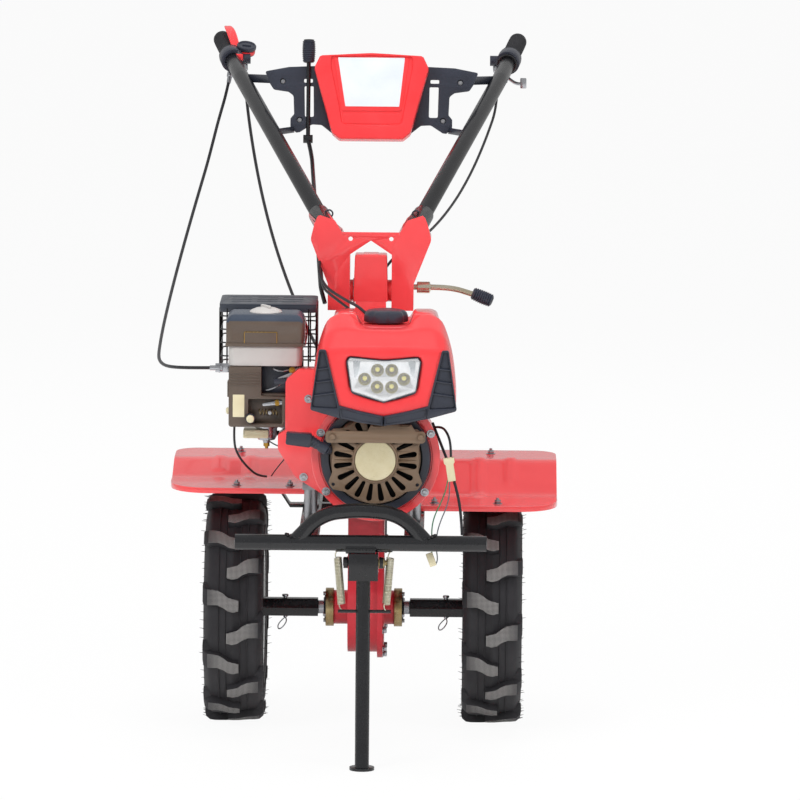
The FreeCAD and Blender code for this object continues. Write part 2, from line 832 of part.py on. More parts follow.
def recoil_cover():
    """Domed starter cover with a ring of slots and a flat middle."""
    body = new_body("recoil_cover")
    front = s.recoil_face
    back = s.shroud_front
    thick = s.recoil_sheet
    rim_radius = s.recoil_radius
    revolve(body, outline(new_sketch(body, "top"), [
        (0, front),
        (s.recoil_hub, front, 2),
        (s.recoil_hub + 3, front + 5, 2),
        (rim_radius - 14, front + 8, 8),
        (rim_radius - 4, back - 6, 5),
        (rim_radius + 6, back - 6),
        (rim_radius + 6, back),
        (rim_radius - 8, back, 5),
        (rim_radius - 18, front + 8 + thick, 6),
        (0, front + 8 + thick),
    ]), "V_Axis")
    slot_half = s.recoil_slot_width / 2
    inner = s.recoil_slot_in
    outer = s.recoil_slot_out
    slot = outline(new_sketch(body, "front", s.shroud_front), [
        (-slot_half / 2, inner),
        (slot_half / 2, inner),
        (slot_half, inner + slot_half),
        (slot_half, outer - slot_half),
        (slot_half / 2, outer),
        (-slot_half / 2, outer),
        (-slot_half, outer - slot_half),
        (-slot_half, inner + slot_half),
    ])
    one = pocket(body, slot, 60, Reversed=True)
    around(body, [one], "Y_Axis", s.recoil_slots)
    place(body, s.crank_x, 0, s.crank_z)


def starter_handle():
    """Pull handle with its tapered boot, lying against the left of the starter."""
    body = new_body("starter_handle")
    revolve(body, outline(new_sketch(body, "front"), [
        (0, 0), (10, 0, 3), (10, 22, 4), (6, 30, 3), (5, 62), (0, 62)]), "V_Axis")
    bar = outline(new_sketch(body, "side", -24), [
        (-9, -6, 5), (9, -6, 5), (9, 10, 6), (-9, 10, 6)])
    pad(body, bar, 44)
    place(body, -116, s.recoil_face + 12, 574, axis=(0, 1, 0), angle=108)


def shroud_bracket():
    """Flat bar bolted across the top of the starter, with a raised tab."""
    body = new_body("shroud_bracket")
    back = s.recoil_face - s.seat_gap
    bar = outline(new_sketch(body, "front", back), [
        (-92, 32, 6), (100, 32, 6), (100, 53, 6), (62, 53, 3), (56, 66, 4), (-6, 66, 4),
        (-12, 53, 3), (-92, 53, 6)])
    pad(body, bar, 5)
    place(body, s.crank_x, 0, s.crank_z)


# ---------------------------------------------------------- tank, mask and lamp

def fuel_tank():
    body = new_body("fuel_tank")
    half = s.tank_half
    dip = s.cap_dip
    right = [
        (half - 14, s.tank_low, 14),
        (half + 16, s.tank_low + 52, 24),
        (half - 3, s.tank_high, 16),
        (dip + 6, s.tank_high, 8),
        (dip - 4, s.tank_valley, 6),
    ]
    profile = outline(new_sketch(body, "front", s.tank_back), mirrored(right))
    pad(body, profile, s.tank_back - s.tank_front)
    place(body, s.cowl_x)


def fuel_cap():
    body = new_body("fuel_cap")
    radius = s.fuel_cap_radius
    high = s.fuel_cap_height
    revolve(body, outline(new_sketch(body, "front"), [
        (0, 0), (radius - 2, 0), (radius, 11, 4), (radius - 12, high, 10), (0, high)]), "V_Axis")
    place(body, s.cowl_x, s.fuel_cap_y, s.tank_valley)


def mask_form(name, inset):
    """The outer form of the mask, or its inner form when given a wall."""
    body = doc.addObject("PartDesign::Body", name)
    drop = inset * 8
    right = [
        (96 - inset, s.mask_low - 9 - drop, 12),
        (s.mask_low_half - inset, s.mask_low - drop, 8),
        (s.mask_low_half - 9 - inset, s.mask_top - 58, 24),
        (s.mask_top_half - inset, s.mask_top - inset, 12),
        (s.cap_dip + 6 + inset, s.mask_top - inset, 8),
        (s.cap_dip - 4 + inset, s.tank_valley - inset, 6),
    ]
    left = [(-x, *rest) for x, *rest in reversed(right)]
    face = outline(new_sketch(body, "front", s.mask_back + inset), [(0, s.mask_point - drop)] + right + left)
    pad(body, face, s.mask_back - s.mask_front)
    slope = outline(new_sketch(body, "side"), [
        (s.mask_back + inset, s.mask_top + 1 - inset),
        (s.mask_front + 4 + inset, s.mask_crease - inset, 20),
        (s.mask_front + inset, s.mask_crease - 30),
        (s.mask_front - 30, s.mask_crease - 30),
        (s.mask_front - 30, s.mask_top + 40),
        (s.mask_back + inset, s.mask_top + 40),
    ])
    hole_through(body, slope)
    return body


def lamp_outline(sketch, out=0):
    """Five-sided outline of the headlamp, grown outwards by a margin."""
    half = s.lamp_half + out
    return outline(sketch, [
        (0, s.lamp_low - out),
        (half - 9, s.lamp_low + 16 - out, 8),
        (half, s.lamp_high - 9, 3),
        (half - 6, s.lamp_high + out, 3),
        (0, s.lamp_high - 5 + out),
        (-half + 6, s.lamp_high + out, 3),
        (-half, s.lamp_high - 9, 3),
        (-half + 9, s.lamp_low + 16 - out, 8),
    ])


def front_mask():
    outer = mask_form("mask_outer", as_size(0))
    inner = mask_form("mask_inner", s.mask_sheet)
    window = doc.addObject("PartDesign::Body", "mask_window")
    pad(window, lamp_outline(new_sketch(window, "front", s.mask_front + 20), s.seat_gap), 60)
    made = cut(outer, inner, window)
    place(node(made, "front_mask"), s.cowl_x)


def mask_grille():
    """Black trim: a louvred panel each side and the strip that joins them."""
    body = new_body("mask_grille")
    low = s.mask_low_half + 1
    right = [
        (low - 50, s.trim_point + 14, 10),
        (low, s.trim_point + 29, 5),
        (low - 15, s.mask_crease - 7, 4),
        (low - 25, s.mask_crease - 7, 4),
        (low - 50, s.mask_low + 5, 4),
    ]
    left = [(-x, *rest) for x, *rest in reversed(right)]
    corners = [(0, s.trim_point)] + right + [(0, s.mask_point + 3)] + left
    pad(body, outline(new_sketch(body, "front", s.mask_front), corners), s.trim_thick)
    place(body, s.cowl_x)


def headlamp():
    body = new_body("headlamp")
    face = s.mask_front - s.lamp_out
    pad(body, lamp_outline(new_sketch(body, "front", face + s.lamp_depth)), s.lamp_depth)
    recess = lamp_outline(new_sketch(body, "front", face), -4)
    pocket(body, recess, 12)
    place(body, s.cowl_x)


# ------------------------------------------- air cleaner, carburettor and muffler

def box_with_rounds(label, x, y, z, radius, plane="front"):
    """A box whose outline on one plane has rounded corners."""
    body = new_body(label)
    spans = {"front": (x, z, y), "side": (y, z, x), "top": (x, y, z)}
    across, up, deep = spans[plane]
    at = deep[1] if plane == "front" else deep[0]
    corners = [(across[0], up[0], radius), (across[1], up[0], radius),
               (across[1], up[1], radius), (across[0], up[1], radius)]
    pad(body, outline(new_sketch(body, plane, at), corners), as_size(deep[1]) - deep[0])
    return body


def air_cleaner_base():
    body = box_with_rounds("air_cleaner_base", (s.cleaner_left + 4, s.cleaner_right - 3),
                           (s.cleaner_front + 3, s.cleaner_back - 3),
                           (s.cleaner_low, s.cleaner_joint), 12, "top")
    place(body)


def air_cleaner_cover():
    body = new_body("air_cleaner_cover")
    pad(body, outline(new_sketch(body, "front", s.cleaner_back), [
        (s.cleaner_left, s.cleaner_joint),
        (s.cleaner_right, s.cleaner_joint),
        (s.cleaner_right, s.cleaner_high - 9, 4),
        (s.cleaner_right - 8, s.cleaner_high, 4),
        (s.cleaner_left + 8, s.cleaner_high, 4),
        (s.cleaner_left, s.cleaner_high - 9, 4),
    ]), s.cleaner_back - s.cleaner_front)
    place(body)


def control_cover():
    body = box_with_rounds("control_cover", (s.control_left, s.control_right),
                           (s.control_front, s.control_back),
                           (s.control_low, s.cleaner_low - s.seat_gap), 6)
    ribs = new_sketch(body, "front", s.control_front)
    high = s.cleaner_low - 22
    outline(ribs, [(s.control_left + 8, high), (s.control_left + 58, high),
                   (s.control_left + 58, high + 3), (s.control_left + 8, high + 3)])
    rib = pad(body, ribs, 3)
    row = along(body, [rib], "Z_Axis", 20, 5)
    row.Reversed = True
    place(body)


def carburettor():
    """Body, bowl and elbow between the control cover, the air cleaner and the head."""
    back = s.cylinder_y - s.head_half
    front = s.control_back
    body = slab((-192, -118), (front, back), (600, 655))
    elbow = slab((-186, -150), (front, back - 2), (650, s.cleaner_low))
    bowl = rod("Z", (-172, (front + back) / 2, 560), 45, 15, 19)
    foot = rod("Z", (-172, (front + back) / 2, 553), 8, 6)
    place(node(fuse(body, elbow, bowl, foot), "carburettor"))


def muffler():
    front = s.guard_front + 22
    back = s.guard_back - 22
    box = box_with_rounds("muffler_box", (s.guard_left + 26, s.guard_right - 24), (front, back),
                          (s.guard_low + 24, s.guard_high - 22), 18)
    nodes.remove(box)
    stays = [slab((x, x + 14), (-130, -110), (s.guard_high - 24, s.guard_high - s.guard_sheet - s.seat_gap))
             for x in (s.guard_left + 50, s.guard_right - 64)]
    head_back = s.cylinder_y + s.head_half
    pipe = swept([(-122, head_back, 630), (-122, head_back + 36, 630), (-122, head_back + 38, 700)], 12)
    place(node(fuse(box, *stays, pipe), "muffler"))


def muffler_guard():
    """Open-bottomed sheet box with slots on top and in its walls."""
    body = new_body("muffler_guard")
    width = s.guard_right - s.guard_left
    depth = s.guard_back - s.guard_front
    plan = new_sketch(body, "top", s.guard_low)
    outline(plan, [(s.guard_left, s.guard_front, 10), (s.guard_right, s.guard_front, 10),
                   (s.guard_right, s.guard_back, 10), (s.guard_left, s.guard_back, 10)])
    pad(body, plan, s.guard_high - s.guard_low)
    inside = s.guard_sheet
    hollow = new_sketch(body, "top", s.guard_low)
    outline(hollow, [(s.guard_left + inside, s.guard_front + inside, 8),
                     (s.guard_right - inside, s.guard_front + inside, 8),
                     (s.guard_right - inside, s.guard_back - inside, 8),
                     (s.guard_left + inside, s.guard_back - inside, 8)])
    pocket(body, hollow, s.guard_high - s.guard_low - inside, Reversed=True)
    slot = new_sketch(body, "top", s.guard_high)
    outline(slot, [(s.guard_left + 18, s.guard_front + 24), (s.guard_left + 28, s.guard_front + 24),
                   (s.guard_left + 28, s.guard_back - 24), (s.guard_left + 18, s.guard_back - 24)])
    top_slot = pocket(body, slot, inside + 1)
    along(body, [top_slot], "X_Axis", width - 46, 7)
    face_slot = new_sketch(body, "front", s.guard_front - 5)
    outline(face_slot, [(s.guard_left + 22, s.guard_low + 14), (s.guard_right - 22, s.guard_low + 14),
                        (s.guard_right - 22, s.guard_low + 30), (s.guard_left + 22, s.guard_low + 30)])
    wall_slot = pocket(body, face_slot, depth + 10)
    along(body, [wall_slot], "Z_Axis", 84, 5)
    side_slot = new_sketch(body, "side", s.guard_right + 5)
    outline(side_slot, [(s.guard_front + 20, s.guard_low + 14), (s.guard_back - 20, s.guard_low + 14),
                        (s.guard_back - 20, s.guard_low + 30), (s.guard_front + 20, s.guard_low + 30)])
    end_slot = pocket(body, side_slot, width + 10)
    along(body, [end_slot], "Z_Axis", 84, 5)
    place(body)


# ---------------------------------------------------------- frame, bumper, stand

def engine_frame():
    """Two rails under the engine, joined behind the bumper and at the gearbox."""
    rail = s.rail_width / 2
    low = s.rail_top - s.rail_height
    front = s.bumper_y + s.bumper_tube
    rails = [slab((s.rail_x * side - rail, s.rail_x * side + rail), (front, s.rail_back), (low, s.rail_top))
             for side in SIDES.values()]
    clear = s.case_neck + s.case_joint_out + 1
    ends = [
        slab((-s.rail_x, s.rail_x), (-clear - 22, -clear), (low, s.rail_top)),
        slab((-s.rail_x, s.rail_x), (s.rail_back - 20, s.rail_back), (low, s.rail_top)),
    ]
    clips = [slab((s.case_x - 22, s.case_x + 18), (-clear - 1, -s.case_neck), (low + 2, s.rail_top - 2)),
             slab((s.case_x - 22, s.case_x + 18), (s.case_neck, s.rail_back - 19), (low + 2, s.rail_top - 2))]
    place(node(fuse(*rails, *ends, *clips), "engine_frame"))


def front_bumper():
    """Cross tube with a low arch of tube welded on top."""
    cross = rod("X", (-s.bumper_half, s.bumper_y, s.bumper_z), s.bumper_half * 2, s.bumper_tube)
    rise = s.bumper_z + s.arch_rise
    arch = swept([
        (-s.arch_half, s.bumper_y, s.bumper_z),
        (-s.arch_half + 48, s.bumper_y, rise - 4),
        (0, s.bumper_y, rise + 4),
        (s.arch_half - 48, s.bumper_y, rise - 4),
        (s.arch_half, s.bumper_y, s.bumper_z),
    ], s.arch_tube)
    weld = slab((-26, 26), (s.bumper_y - s.bumper_tube, s.bumper_y + s.bumper_tube),
                (s.bumper_z - s.bumper_tube - 3, s.bumper_z - 4))
    place(node(fuse(cross, arch, weld), "front_bumper"))


def stand_bracket():
    """Downward fork that carries the stand's pivot bolt; its front plate is the stop."""
    below = 30
    half = s.bracket_half
    thick = s.bracket_sheet
    top = s.bumper_z - s.bumper_tube - 3
    low = s.stand_pivot_z - below
    front = s.bumper_y - s.stand_tube - s.stand_lean * below / s.stand_pivot_z - s.seat_gap * 2
    mid = s.stand_x
    face = slab((mid - half, mid + half), (front - thick, front), (low, top))
    cheeks = [slab((mid + side * half - (thick if side > 0 else 0), mid + side * half + (0 if side > 0 else thick)),
                   (front - 1, s.bumper_y + 20), (s.stand_pivot_z - 20, top)) for side in SIDES.values()]
    bolt = rod("X", (mid - half - 9, s.bumper_y, s.stand_pivot_z), half * 2 + 18, s.pivot_bolt)
    heads = [rod("X", (mid - half - 9, s.bumper_y, s.stand_pivot_z), 8, 10),
             rod("X", (mid + half + 1, s.bumper_y, s.stand_pivot_z), 8, 10)]
    place(node(fuse(face, *cheeks, bolt, *heads), "stand_bracket"))


def stand_leg():
    mid = s.stand_x
    pivot = (mid, s.bumper_y, s.stand_pivot_z)
    hole = s.pivot_bolt + s.pivot_gap
    lean = s.stand_lean
    leg = swept([pivot, (mid, s.bumper_y - lean, s.foot_pad_thick - 1)], s.stand_tube)
    knuckle = doc.addObject("Part::Sphere", "Knuckle")
    bind(knuckle, "Radius", s.stand_tube)
    bind(knuckle, "Placement.Base.x", mid)
    bind(knuckle, "Placement.Base.y", s.bumper_y)
    bind(knuckle, "Placement.Base.z", s.stand_pivot_z)
    pad_low = rod("Z", (mid, s.bumper_y - lean, 0), s.foot_pad_thick, s.foot_pad)
    pin = rod("X", (mid - 44, s.bumper_y - lean * 0.24, 281), 93, 3)
    bore = rod("X", (mid - 40, s.bumper_y, s.stand_pivot_z), 80, hole)
    place(node(cut(fuse(leg, knuckle, pad_low, pin), bore), "stand_leg"))


def stand_springs():
    springs = []
    for side in SIDES.values():
        top = (48 * side, s.bumper_y, s.bumper_z - s.bumper_tube - s.seat_gap * 2)
        low = (41 * side, s.bumper_y - 4, 285)
        springs.append(swept([top, low], 6))
    place(node(group(*springs), "stand_springs"))


# ------------------------------------------------------------------------ fenders

def fender_profile(sketch, dip=0, rise=0, skin=None):
    """Side view of the fender sheet: a high flat, a slope, a low flat and a front lip."""
    thick = s.fender_sheet if skin is None else skin
    high = s.fender_high + rise
    low = s.fender_low + rise - dip
    return outline(sketch, [
        (170, high),
        (170, high - thick),
        (45, high - thick, 12),
        (-45, low - thick, 12),
        (-185 + thick, low - thick, 2),
        (-185 + thick, low - s.fender_lip),
        (-185, low - s.fender_lip),
        (-185, low, 4),
        (-45, low, 12),
        (45, high, 12),
    ])


def fender(name, side, dip):
    body = doc.addObject("PartDesign::Body", "fender_sheet")
    width = s.fender_out - s.fender_in
    pad(body, fender_profile(new_sketch(body, "side", s.fender_in), dip), width)
    for x in (200, 258):
        rib = fender_profile(new_sketch(body, "side", x), dip, 3.5, s.fender_sheet + 3)
        pad(body, rib, 20)
    out = s.fender_out
    reach = s.fender_corner
    front = new_sketch(body, "top", 380)
    outline(front, [(out - reach, -186), (out - reach * 0.3, -160, 34), (out + 1, -96), (out + 1, -186)])
    pocket(body, front, 200, Reversed=True)
    rear = new_sketch(body, "top", 380)
    outline(rear, [(out - 40, 171), (out - 8, 158, 18), (out + 1, 120), (out + 1, 171)])
    pocket(body, rear, 200, Reversed=True)
    if side < 0:
        mirror = doc.addObject("Part::Mirroring", "fender_mirror")
        mirror.Source = body
        mirror.Normal = Vector(1, 0, 0)
        body = mirror
    place(node(body, "fender_" + name))


def fender_brackets():
    """Four cranked flat bars from the rails to the underside of the fenders."""
    bars = []
    for side in SIDES.values():
        dip = s.fender_dip if side > 0 else 0
        under = {-120: s.fender_low - s.fender_sheet - dip, 100: s.fender_high - s.fender_sheet}
        for along_y, top in under.items():
            low = s.rail_top
            left_right = [(s.rail_x - 12, low), (s.rail_x + 40, low), (s.rail_x + 62, top - 5),
                          (s.fender_out - 40, top - 5)]
            upper = [(x, z + 5) for x, z in reversed(left_right)]
            body = doc.addObject("PartDesign::Body", "fender_bar")
            corners = [(x * side, z) for x, z in left_right + upper]
            pad(body, outline(new_sketch(body, "front", along_y + 18), corners), 36)
            bars.append(body)
    place(node(group(*bars), "fender_brackets"))


# --------------------------------------------------- handle post and adjusting lever

def handle_post():
    body = new_body("handle_post")
    back = s.hinge_y + s.post_depth / 2
    bottom = s.case_top
    half = s.post_half
    top_half = s.post_top_half
    face = outline(new_sketch(body, "front", back), [
        (-half, bottom), (half, bottom), (top_half, s.post_top - 20, 6),
        (top_half - 12, s.post_top, 5), (-top_half + 12, s.post_top, 5), (-top_half, s.post_top - 20, 6)])
    pad(body, face, s.post_depth)
    flange = outline(new_sketch(body, "top", bottom), [
        (-38, -44, 8), (34, -44, 8), (34, s.case_neck - 2, 8), (-38, s.case_neck - 2, 8)])
    pad(body, flange, 10)
    boss = circle(new_sketch(body, "side", -s.wing_gap + s.seat_gap), s.hinge_y, s.hinge_z, s.clamp_boss)
    pad(body, boss, (s.wing_gap - s.seat_gap) * 2)
    bore = circle(new_sketch(body, "side"), s.hinge_y, s.hinge_z, s.clamp_bolt + s.seat_gap)
    hole_through(body, bore)
    place(body, s.post_x)


def adjust_lever():
    """Clamp bolt through post and bracket, with its nut, cranked lever and ribbed knob."""
    left = s.post_x - s.wing_gap - s.wing_sheet - 8
    right = s.post_x + s.wing_gap + s.wing_sheet + 2
    centre = (s.hinge_y, s.hinge_z)
    bolt = rod("X", (left, *centre), right - left + 4, s.clamp_bolt)
    head = rod("X", (left - 6, *centre), 7, 13)
    nut = rod("X", (right, *centre), 28, 10)
    lever = swept([(right + 24, *centre), (s.post_x + 182, s.hinge_y, s.hinge_z - 2),
                   (s.post_x + 196, s.hinge_y, s.hinge_z - 10)], 4)
    knob = swept([(s.post_x + 188, s.hinge_y, s.hinge_z - 6), (s.post_x + 222, s.hinge_y, s.hinge_z - 22)], 9)
    place(node(fuse(bolt, head, nut, lever, knob), "adjust_lever"))


# ----------------------------------------------------------------------- handlebar

def bar_middle(y):
    """Middle of the handlebar, across; it runs a little to one side towards the rear."""
    part = (y - number(s.socket_y)) / (number(s.grip_y) - number(s.socket_y))
    return number(s.post_x) + number(s.bar_sway) * max(part, 0)


def handle_line(side):
    """A handle tube's front end, bend and rear end."""
    front = Vector(number(s.socket_x), number(s.socket_y), number(s.socket_z))
    bend = Vector(number(s.bend_x), number(s.bend_y), number(s.bend_z))
    back = Vector(number(s.grip_x), number(s.grip_y), number(s.grip_z))
    start = front - (bend - front).normalize() * 84
    return [Vector(bar_middle(point.y) + point.x * side, point.y, point.z) for point in (start, bend, back)]


def handlebar_bracket():
    """Pressed bracket: two wings with sides, joined by a plain sheet across the front."""
    body = doc.addObject("PartDesign::Body", "bracket_sheet")
    gap = s.wing_gap
    low = s.wing_low
    wide = s.wing_wide
    back = s.wing_front + s.wing_depth

    def wing(inset):
        return [
            (gap + inset, low - inset * 10),
            (gap + 40 - inset, low - inset * 10),
            (gap + 40 - inset, low + 48, 12),
            (wide - 18 - inset, low + 78, 16),
            (wide - inset, low + 119, 16),
            (wide - 7 - inset, low + 148 - inset, 8),
            (wide - 14 - inset, low + 165 - inset, 6),
            (gap + 28 + inset, low + 155 - inset, 8),
            (gap + 15 + inset, low + 133, 8),
            (gap + inset, low + 100, 8),
        ]

    for side in SIDES.values():
        solid = new_sketch(body, "front", back)
        outline(solid, [(x * side, z, *rest) for x, z, *rest in wing(as_size(0))])
        pad(body, solid, s.wing_depth)
        hollow = new_sketch(body, "front", back)
        outline(hollow, [(x * side, z, *rest) for x, z, *rest in wing(s.wing_sheet)])
        pocket(body, hollow, s.wing_depth - s.wing_sheet, Reversed=True)
        if side > 0:
            cross = new_sketch(body, "front", s.wing_front + s.wing_sheet)
            right = [(gap + 2, low + 93), (gap + 14, low + 133)]
            left = [(-x, z) for x, z in reversed(right)]
            outline(cross, [(0, low + 118)] + right + left)
            pad(body, cross, s.wing_sheet)
    bore = circle(new_sketch(body, "side"), s.hinge_y, s.hinge_z, s.clamp_bolt + s.running_gap)
    hole_through(body, bore)
    holes = new_sketch(body, "front", s.wing_front)
    for side in SIDES.values():
        circle(holes, 37 * side, low + 121, 4)
    pocket(body, holes, s.wing_sheet + 1)
    bind(body, "Placement.Base.x", s.post_x)
    sleeves = []
    bores = []
    for side in SIDES.values():
        line = handle_line(side)
        toward = (line[1] - line[0]).normalize()
        start = line[0]
        sleeves.append(swept([start + toward * 2, start + toward * 96], s.tube_radius + 4))
        bores.append(swept([start + toward * 1, start + toward * 100], s.tube_radius + s.seat_gap))
    place(node(cut(fuse(body, *sleeves), *bores), "handlebar_bracket"))


def handle_tube(name, side):
    made = doc.addObject("Part::Feature", "handle_tube")
    line = handle_line(side)
    start = line[0] + (line[1] - line[0]).normalize() * 4
    made.Shape = sweep_shape([start, line[1], line[2]], s.tube_radius, 160)[0]
    place(node(made, "handle_tube_" + name))


def grip(name, side):
    line = handle_line(side)
    end = line[2]
    toward = (line[1] - line[2]).normalize()
    length = number(s.grip_length)
    body = swept([end - toward * 4, end + toward * length], s.tube_radius + s.grip_wall)
    flange = swept([end + toward * (length - 6), end + toward * length], s.tube_radius + s.grip_wall + 5)
    bore = swept([end, end + toward * (length + 5)], s.tube_radius + s.seat_gap)
    place(node(cut(fuse(body, flange), bore), "grip_" + name))


def lever_clamp(name, side):
    """Clamp round the handle tube, next to the grip, with a lug for the lever's pivot."""
    line = handle_line(side)
    toward = (line[1] - line[2]).normalize()
    near = line[2] + toward * (number(s.grip_length) + 2)
    ring = swept([near, near + toward * 30], s.tube_radius + 8)
    inward = Vector(-side, 0, 0)
    lug_at = near + toward * 15
    lug = swept([lug_at + inward * 16, lug_at + inward * 36], 10)
    bore = swept([near - toward * 2, near + toward * 34], s.tube_radius + s.seat_gap)
    place(node(cut(fuse(ring, lug), bore), "lever_clamp_" + name))


def hand_lever(name, side):
    """Blade that runs beside the grip from the clamp's lug."""
    line = handle_line(side)
    toward = (line[1] - line[2]).normalize()
    near = line[2] + toward * (number(s.grip_length) + 2)
    inward = Vector(-side, 0, 0)
    lug_at = near + toward * 15 + inward * 43
    blade = swept([lug_at, lug_at - toward * 50 + inward * 4, lug_at - toward * 108 + inward * 2], 6)
    place(node(blade, "hand_lever_" + name))


def dashboard():
    body = new_body("dashboard")
    top = s.dash_top_half
    low = s.dash_low_half
    high = s.dash_height
    depth = s.dash_depth
    right = [(low, 0, 14), (top, high - 26, 16), (top - 4, high, 8)]
    pad(body, outline(new_sketch(body, "front", depth), mirrored(right)), depth)
    inside = [(low - 4, 4, 10), (top - 5, high - 26, 14), (top - 8, high - 4, 6)]
    pocket(body, outline(new_sketch(body, "front", depth), mirrored(inside)), depth - 8, Reversed=True)
    panel = [(s.dash_low_half - 20, high - 99, 4), (s.dash_top_half - 40, high - 5, 4)]
    pocket(body, outline(new_sketch(body, "front", 0), mirrored(panel)), 2.5)
    place(body, bar_middle(number(s.dash_y)), s.dash_y, s.dash_low_z, axis=(-1, 0, 0), angle=s.dash_lean)


def dash_plates():
    """A slotted plate each side of the dashboard, stayed to the handle tubes."""
    plates = []
    for side in SIDES.values():
        body = doc.addObject("PartDesign::Body", "dash_plate")
        corners = [(70, 12), (150, 8, 8), (156, 52, 10), (176, 100, 10), (204, 118, 6), (204, 146, 6),
                   (98, 152)]
        sketch = new_sketch(body, "front", s.dash_depth + s.dash_plate)
        outline(sketch, [(x * side, z, *rest) for x, z, *rest in corners])
        pad(body, sketch, s.dash_plate)
        slot = new_sketch(body, "front", s.dash_depth + s.dash_plate)
        outline(slot, [(x * side, z) for x, z in ((112, 50), (130, 50), (130, 122), (112, 122))])
        pocket(body, slot, s.dash_plate + 2, Reversed=True)
        stay_high = swept([Vector(190 * side, 44, 132), Vector(222 * side, 120, 72)], 5)
        stay_low = swept([Vector(140 * side, 48, 24), Vector(190 * side, 30, 54)], 5)
        plates.append(fuse(body, stay_high, stay_low))
    both = group(*plates)
    shift(both, bar_middle(number(s.dash_y)), s.dash_y, s.dash_low_z, axis=(-1, 0, 0), angle=s.dash_lean)
    tubes = [swept(handle_line(side)[1:], s.tube_radius + s.seat_gap) for side in SIDES.values()]
    tubes += [swept(handle_line(side)[:2], s.tube_radius + s.seat_gap) for side in SIDES.values()]
    place(node(cut(both, *tubes), "dash_plates"))


def gear_lever():
    """Knob and flat lever on a pin in front of the side plate, with the long rod below it."""
    lean = math.radians(number(s.dash_lean))
    forward = number(s.dash_depth) - 8.3

    def on_plate(up, out=120):
        return Vector(bar_middle(number(s.dash_y)) - out,
                      number(s.dash_y) + forward * math.cos(lean) + up * math.sin(lean),
                      number(s.dash_low_z) - forward * math.sin(lean) + up * math.cos(lean))

    bar = swept([on_plate(2), on_plate(172)], 4)
    knob = swept([on_plate(166), on_plate(196)], 10)
    at = on_plate(6)
    joint = rod("X", (at.x - 9, at.y, at.z), 18, 8)
    shift_rod = swept([at, Vector(-112, 530, 985), Vector(-84, 60, 790), Vector(-76, 40, 765)], 4)
    place(node(fuse(bar, knob, joint, shift_rod), "gear_lever"))


# -------------------------------------------------------------------------- cords

THROTTLE_ROUTE = [
    (-278.4, 872, 1117.5), (-285, 850, 1080), (-299, 800, 1030), (-307, 768, 996), (-318, 720, 950),
    (-328.3, 650, 912.3), (-337.6, 580, 877.4), (-345.8, 510, 845.5), (-352.9, 440, 816.4),
    (-359, 370, 790.3), (-364, 300, 767), (-368, 230, 746.6), (-370.9, 160, 729.1), (-372.8, 90, 714.5),
    (-373.6, 20, 702.8), (-373.3, -50, 693.9), (-372, -120, 688), (-368, -180, 684.5), (-356, -240, 683.5),
    (-335, -290, 687), (-302, -318, 690), (-262, -322, 691),
]
CLUTCH_ROUTE = [
    (-251.4, 868, 1131.2), (-249, 846, 1096), (-244, 806, 1056), (-235.3, 735.1, 1014.4),
    (-225.5, 664.2, 974.4), (-214.7, 593.3, 936), (-202.8, 522.4, 899.2), (-189.9, 451.5, 864),
    (-175.9, 380.5, 830.4), (-160.8, 309.6, 798.3), (-144.7, 238.7, 767.9), (-127.5, 167.8, 739),
    (-109.3, 96.9, 711.7), (-90, 26, 686), (-62, -44, 660), (-33.3, -102, 646),
]
TURN_ROUTE = [
    (236.6, 868, 1131.2), (241, 846, 1098), (236, 800, 1050), (225.2, 738.4, 1023.2), (213.8, 676.8, 998.6),
    (202, 615.2, 976), (189.8, 553.6, 955.4), (177, 492, 937), (163.8, 430.4, 920.6), (150, 368.8, 906.4),
    (135.8, 307.2, 894.2), (121.2, 245.6, 884), (106, 184, 876), (80, 126, 866), (54, 94, 850), (30, 74, 822),
    (18, 62, 792), (15, 57.8, 760),
]
LAMP_ROUTE = [
    (-82, 74, 888), (-87, 73, 852), (-82, 55, 815), (-80, 12, 797), (-62, -35, 787), (-40, -78, 777),
    (-18, -113.2, 768),
]
STOP_ROUTE = [
    (124.1, -352, 600), (137, -370, 570), (154, -398, 532), (168, -426, 492), (176, -448, 452),
    (178, -459.5, 416),
]


def cords():
    cord("throttle_cable", as_size(3), THROTTLE_ROUTE)
    cord("clutch_cable", as_size(3), CLUTCH_ROUTE)
    cord("lock_cable", as_size(2.5), TURN_ROUTE)
    cord("lamp_lead", as_size(2.5), LAMP_ROUTE)
    cord("stop_lead", as_size(2.5), STOP_ROUTE)


# --------------------------------------------------------------------------- build

axle_shaft()
for wheel_name, wheel_side in SIDES.items():
    tyre(wheel_name, wheel_side)
    rim(wheel_name, wheel_side)
    hub(wheel_name, wheel_side)
gearbox_case()
bearing_caps()
clutch_housing()
rear_hitch()
engine_block()
cylinder()
fan_shroud()
recoil_cover()
starter_handle()
shroud_bracket()
fuel_tank()
fuel_cap()
front_mask()
mask_grille()
headlamp()
air_cleaner_base()
air_cleaner_cover()
control_cover()
carburettor()
muffler()
muffler_guard()
engine_frame()
front_bumper()
stand_bracket()
stand_leg()
stand_springs()
fender("left", 1, s.fender_dip)
fender("right", -1, 0)
fender_brackets()
handle_post()
adjust_lever()
handlebar_bracket()
for hand_name, hand_side in SIDES.items():
    handle_tube(hand_name, hand_side)
    grip(hand_name, hand_side)
    lever_clamp(hand_name, hand_side)
    hand_lever(hand_name, hand_side)
dashboard()
dash_plates()
gear_lever()
cords()
doc.recompute()

for item in doc.Objects:
    if {"Invalid", "Error"} & set(item.State):
        raise ValueError(f"{item.Name} ({item.Label}) failed: {item.State}")
for item in nodes:
    if item.Shape.isNull() or not item.Shape.isValid() or not item.Shape.Solids:
        raise ValueError(f"{item.Label} has no valid solid")

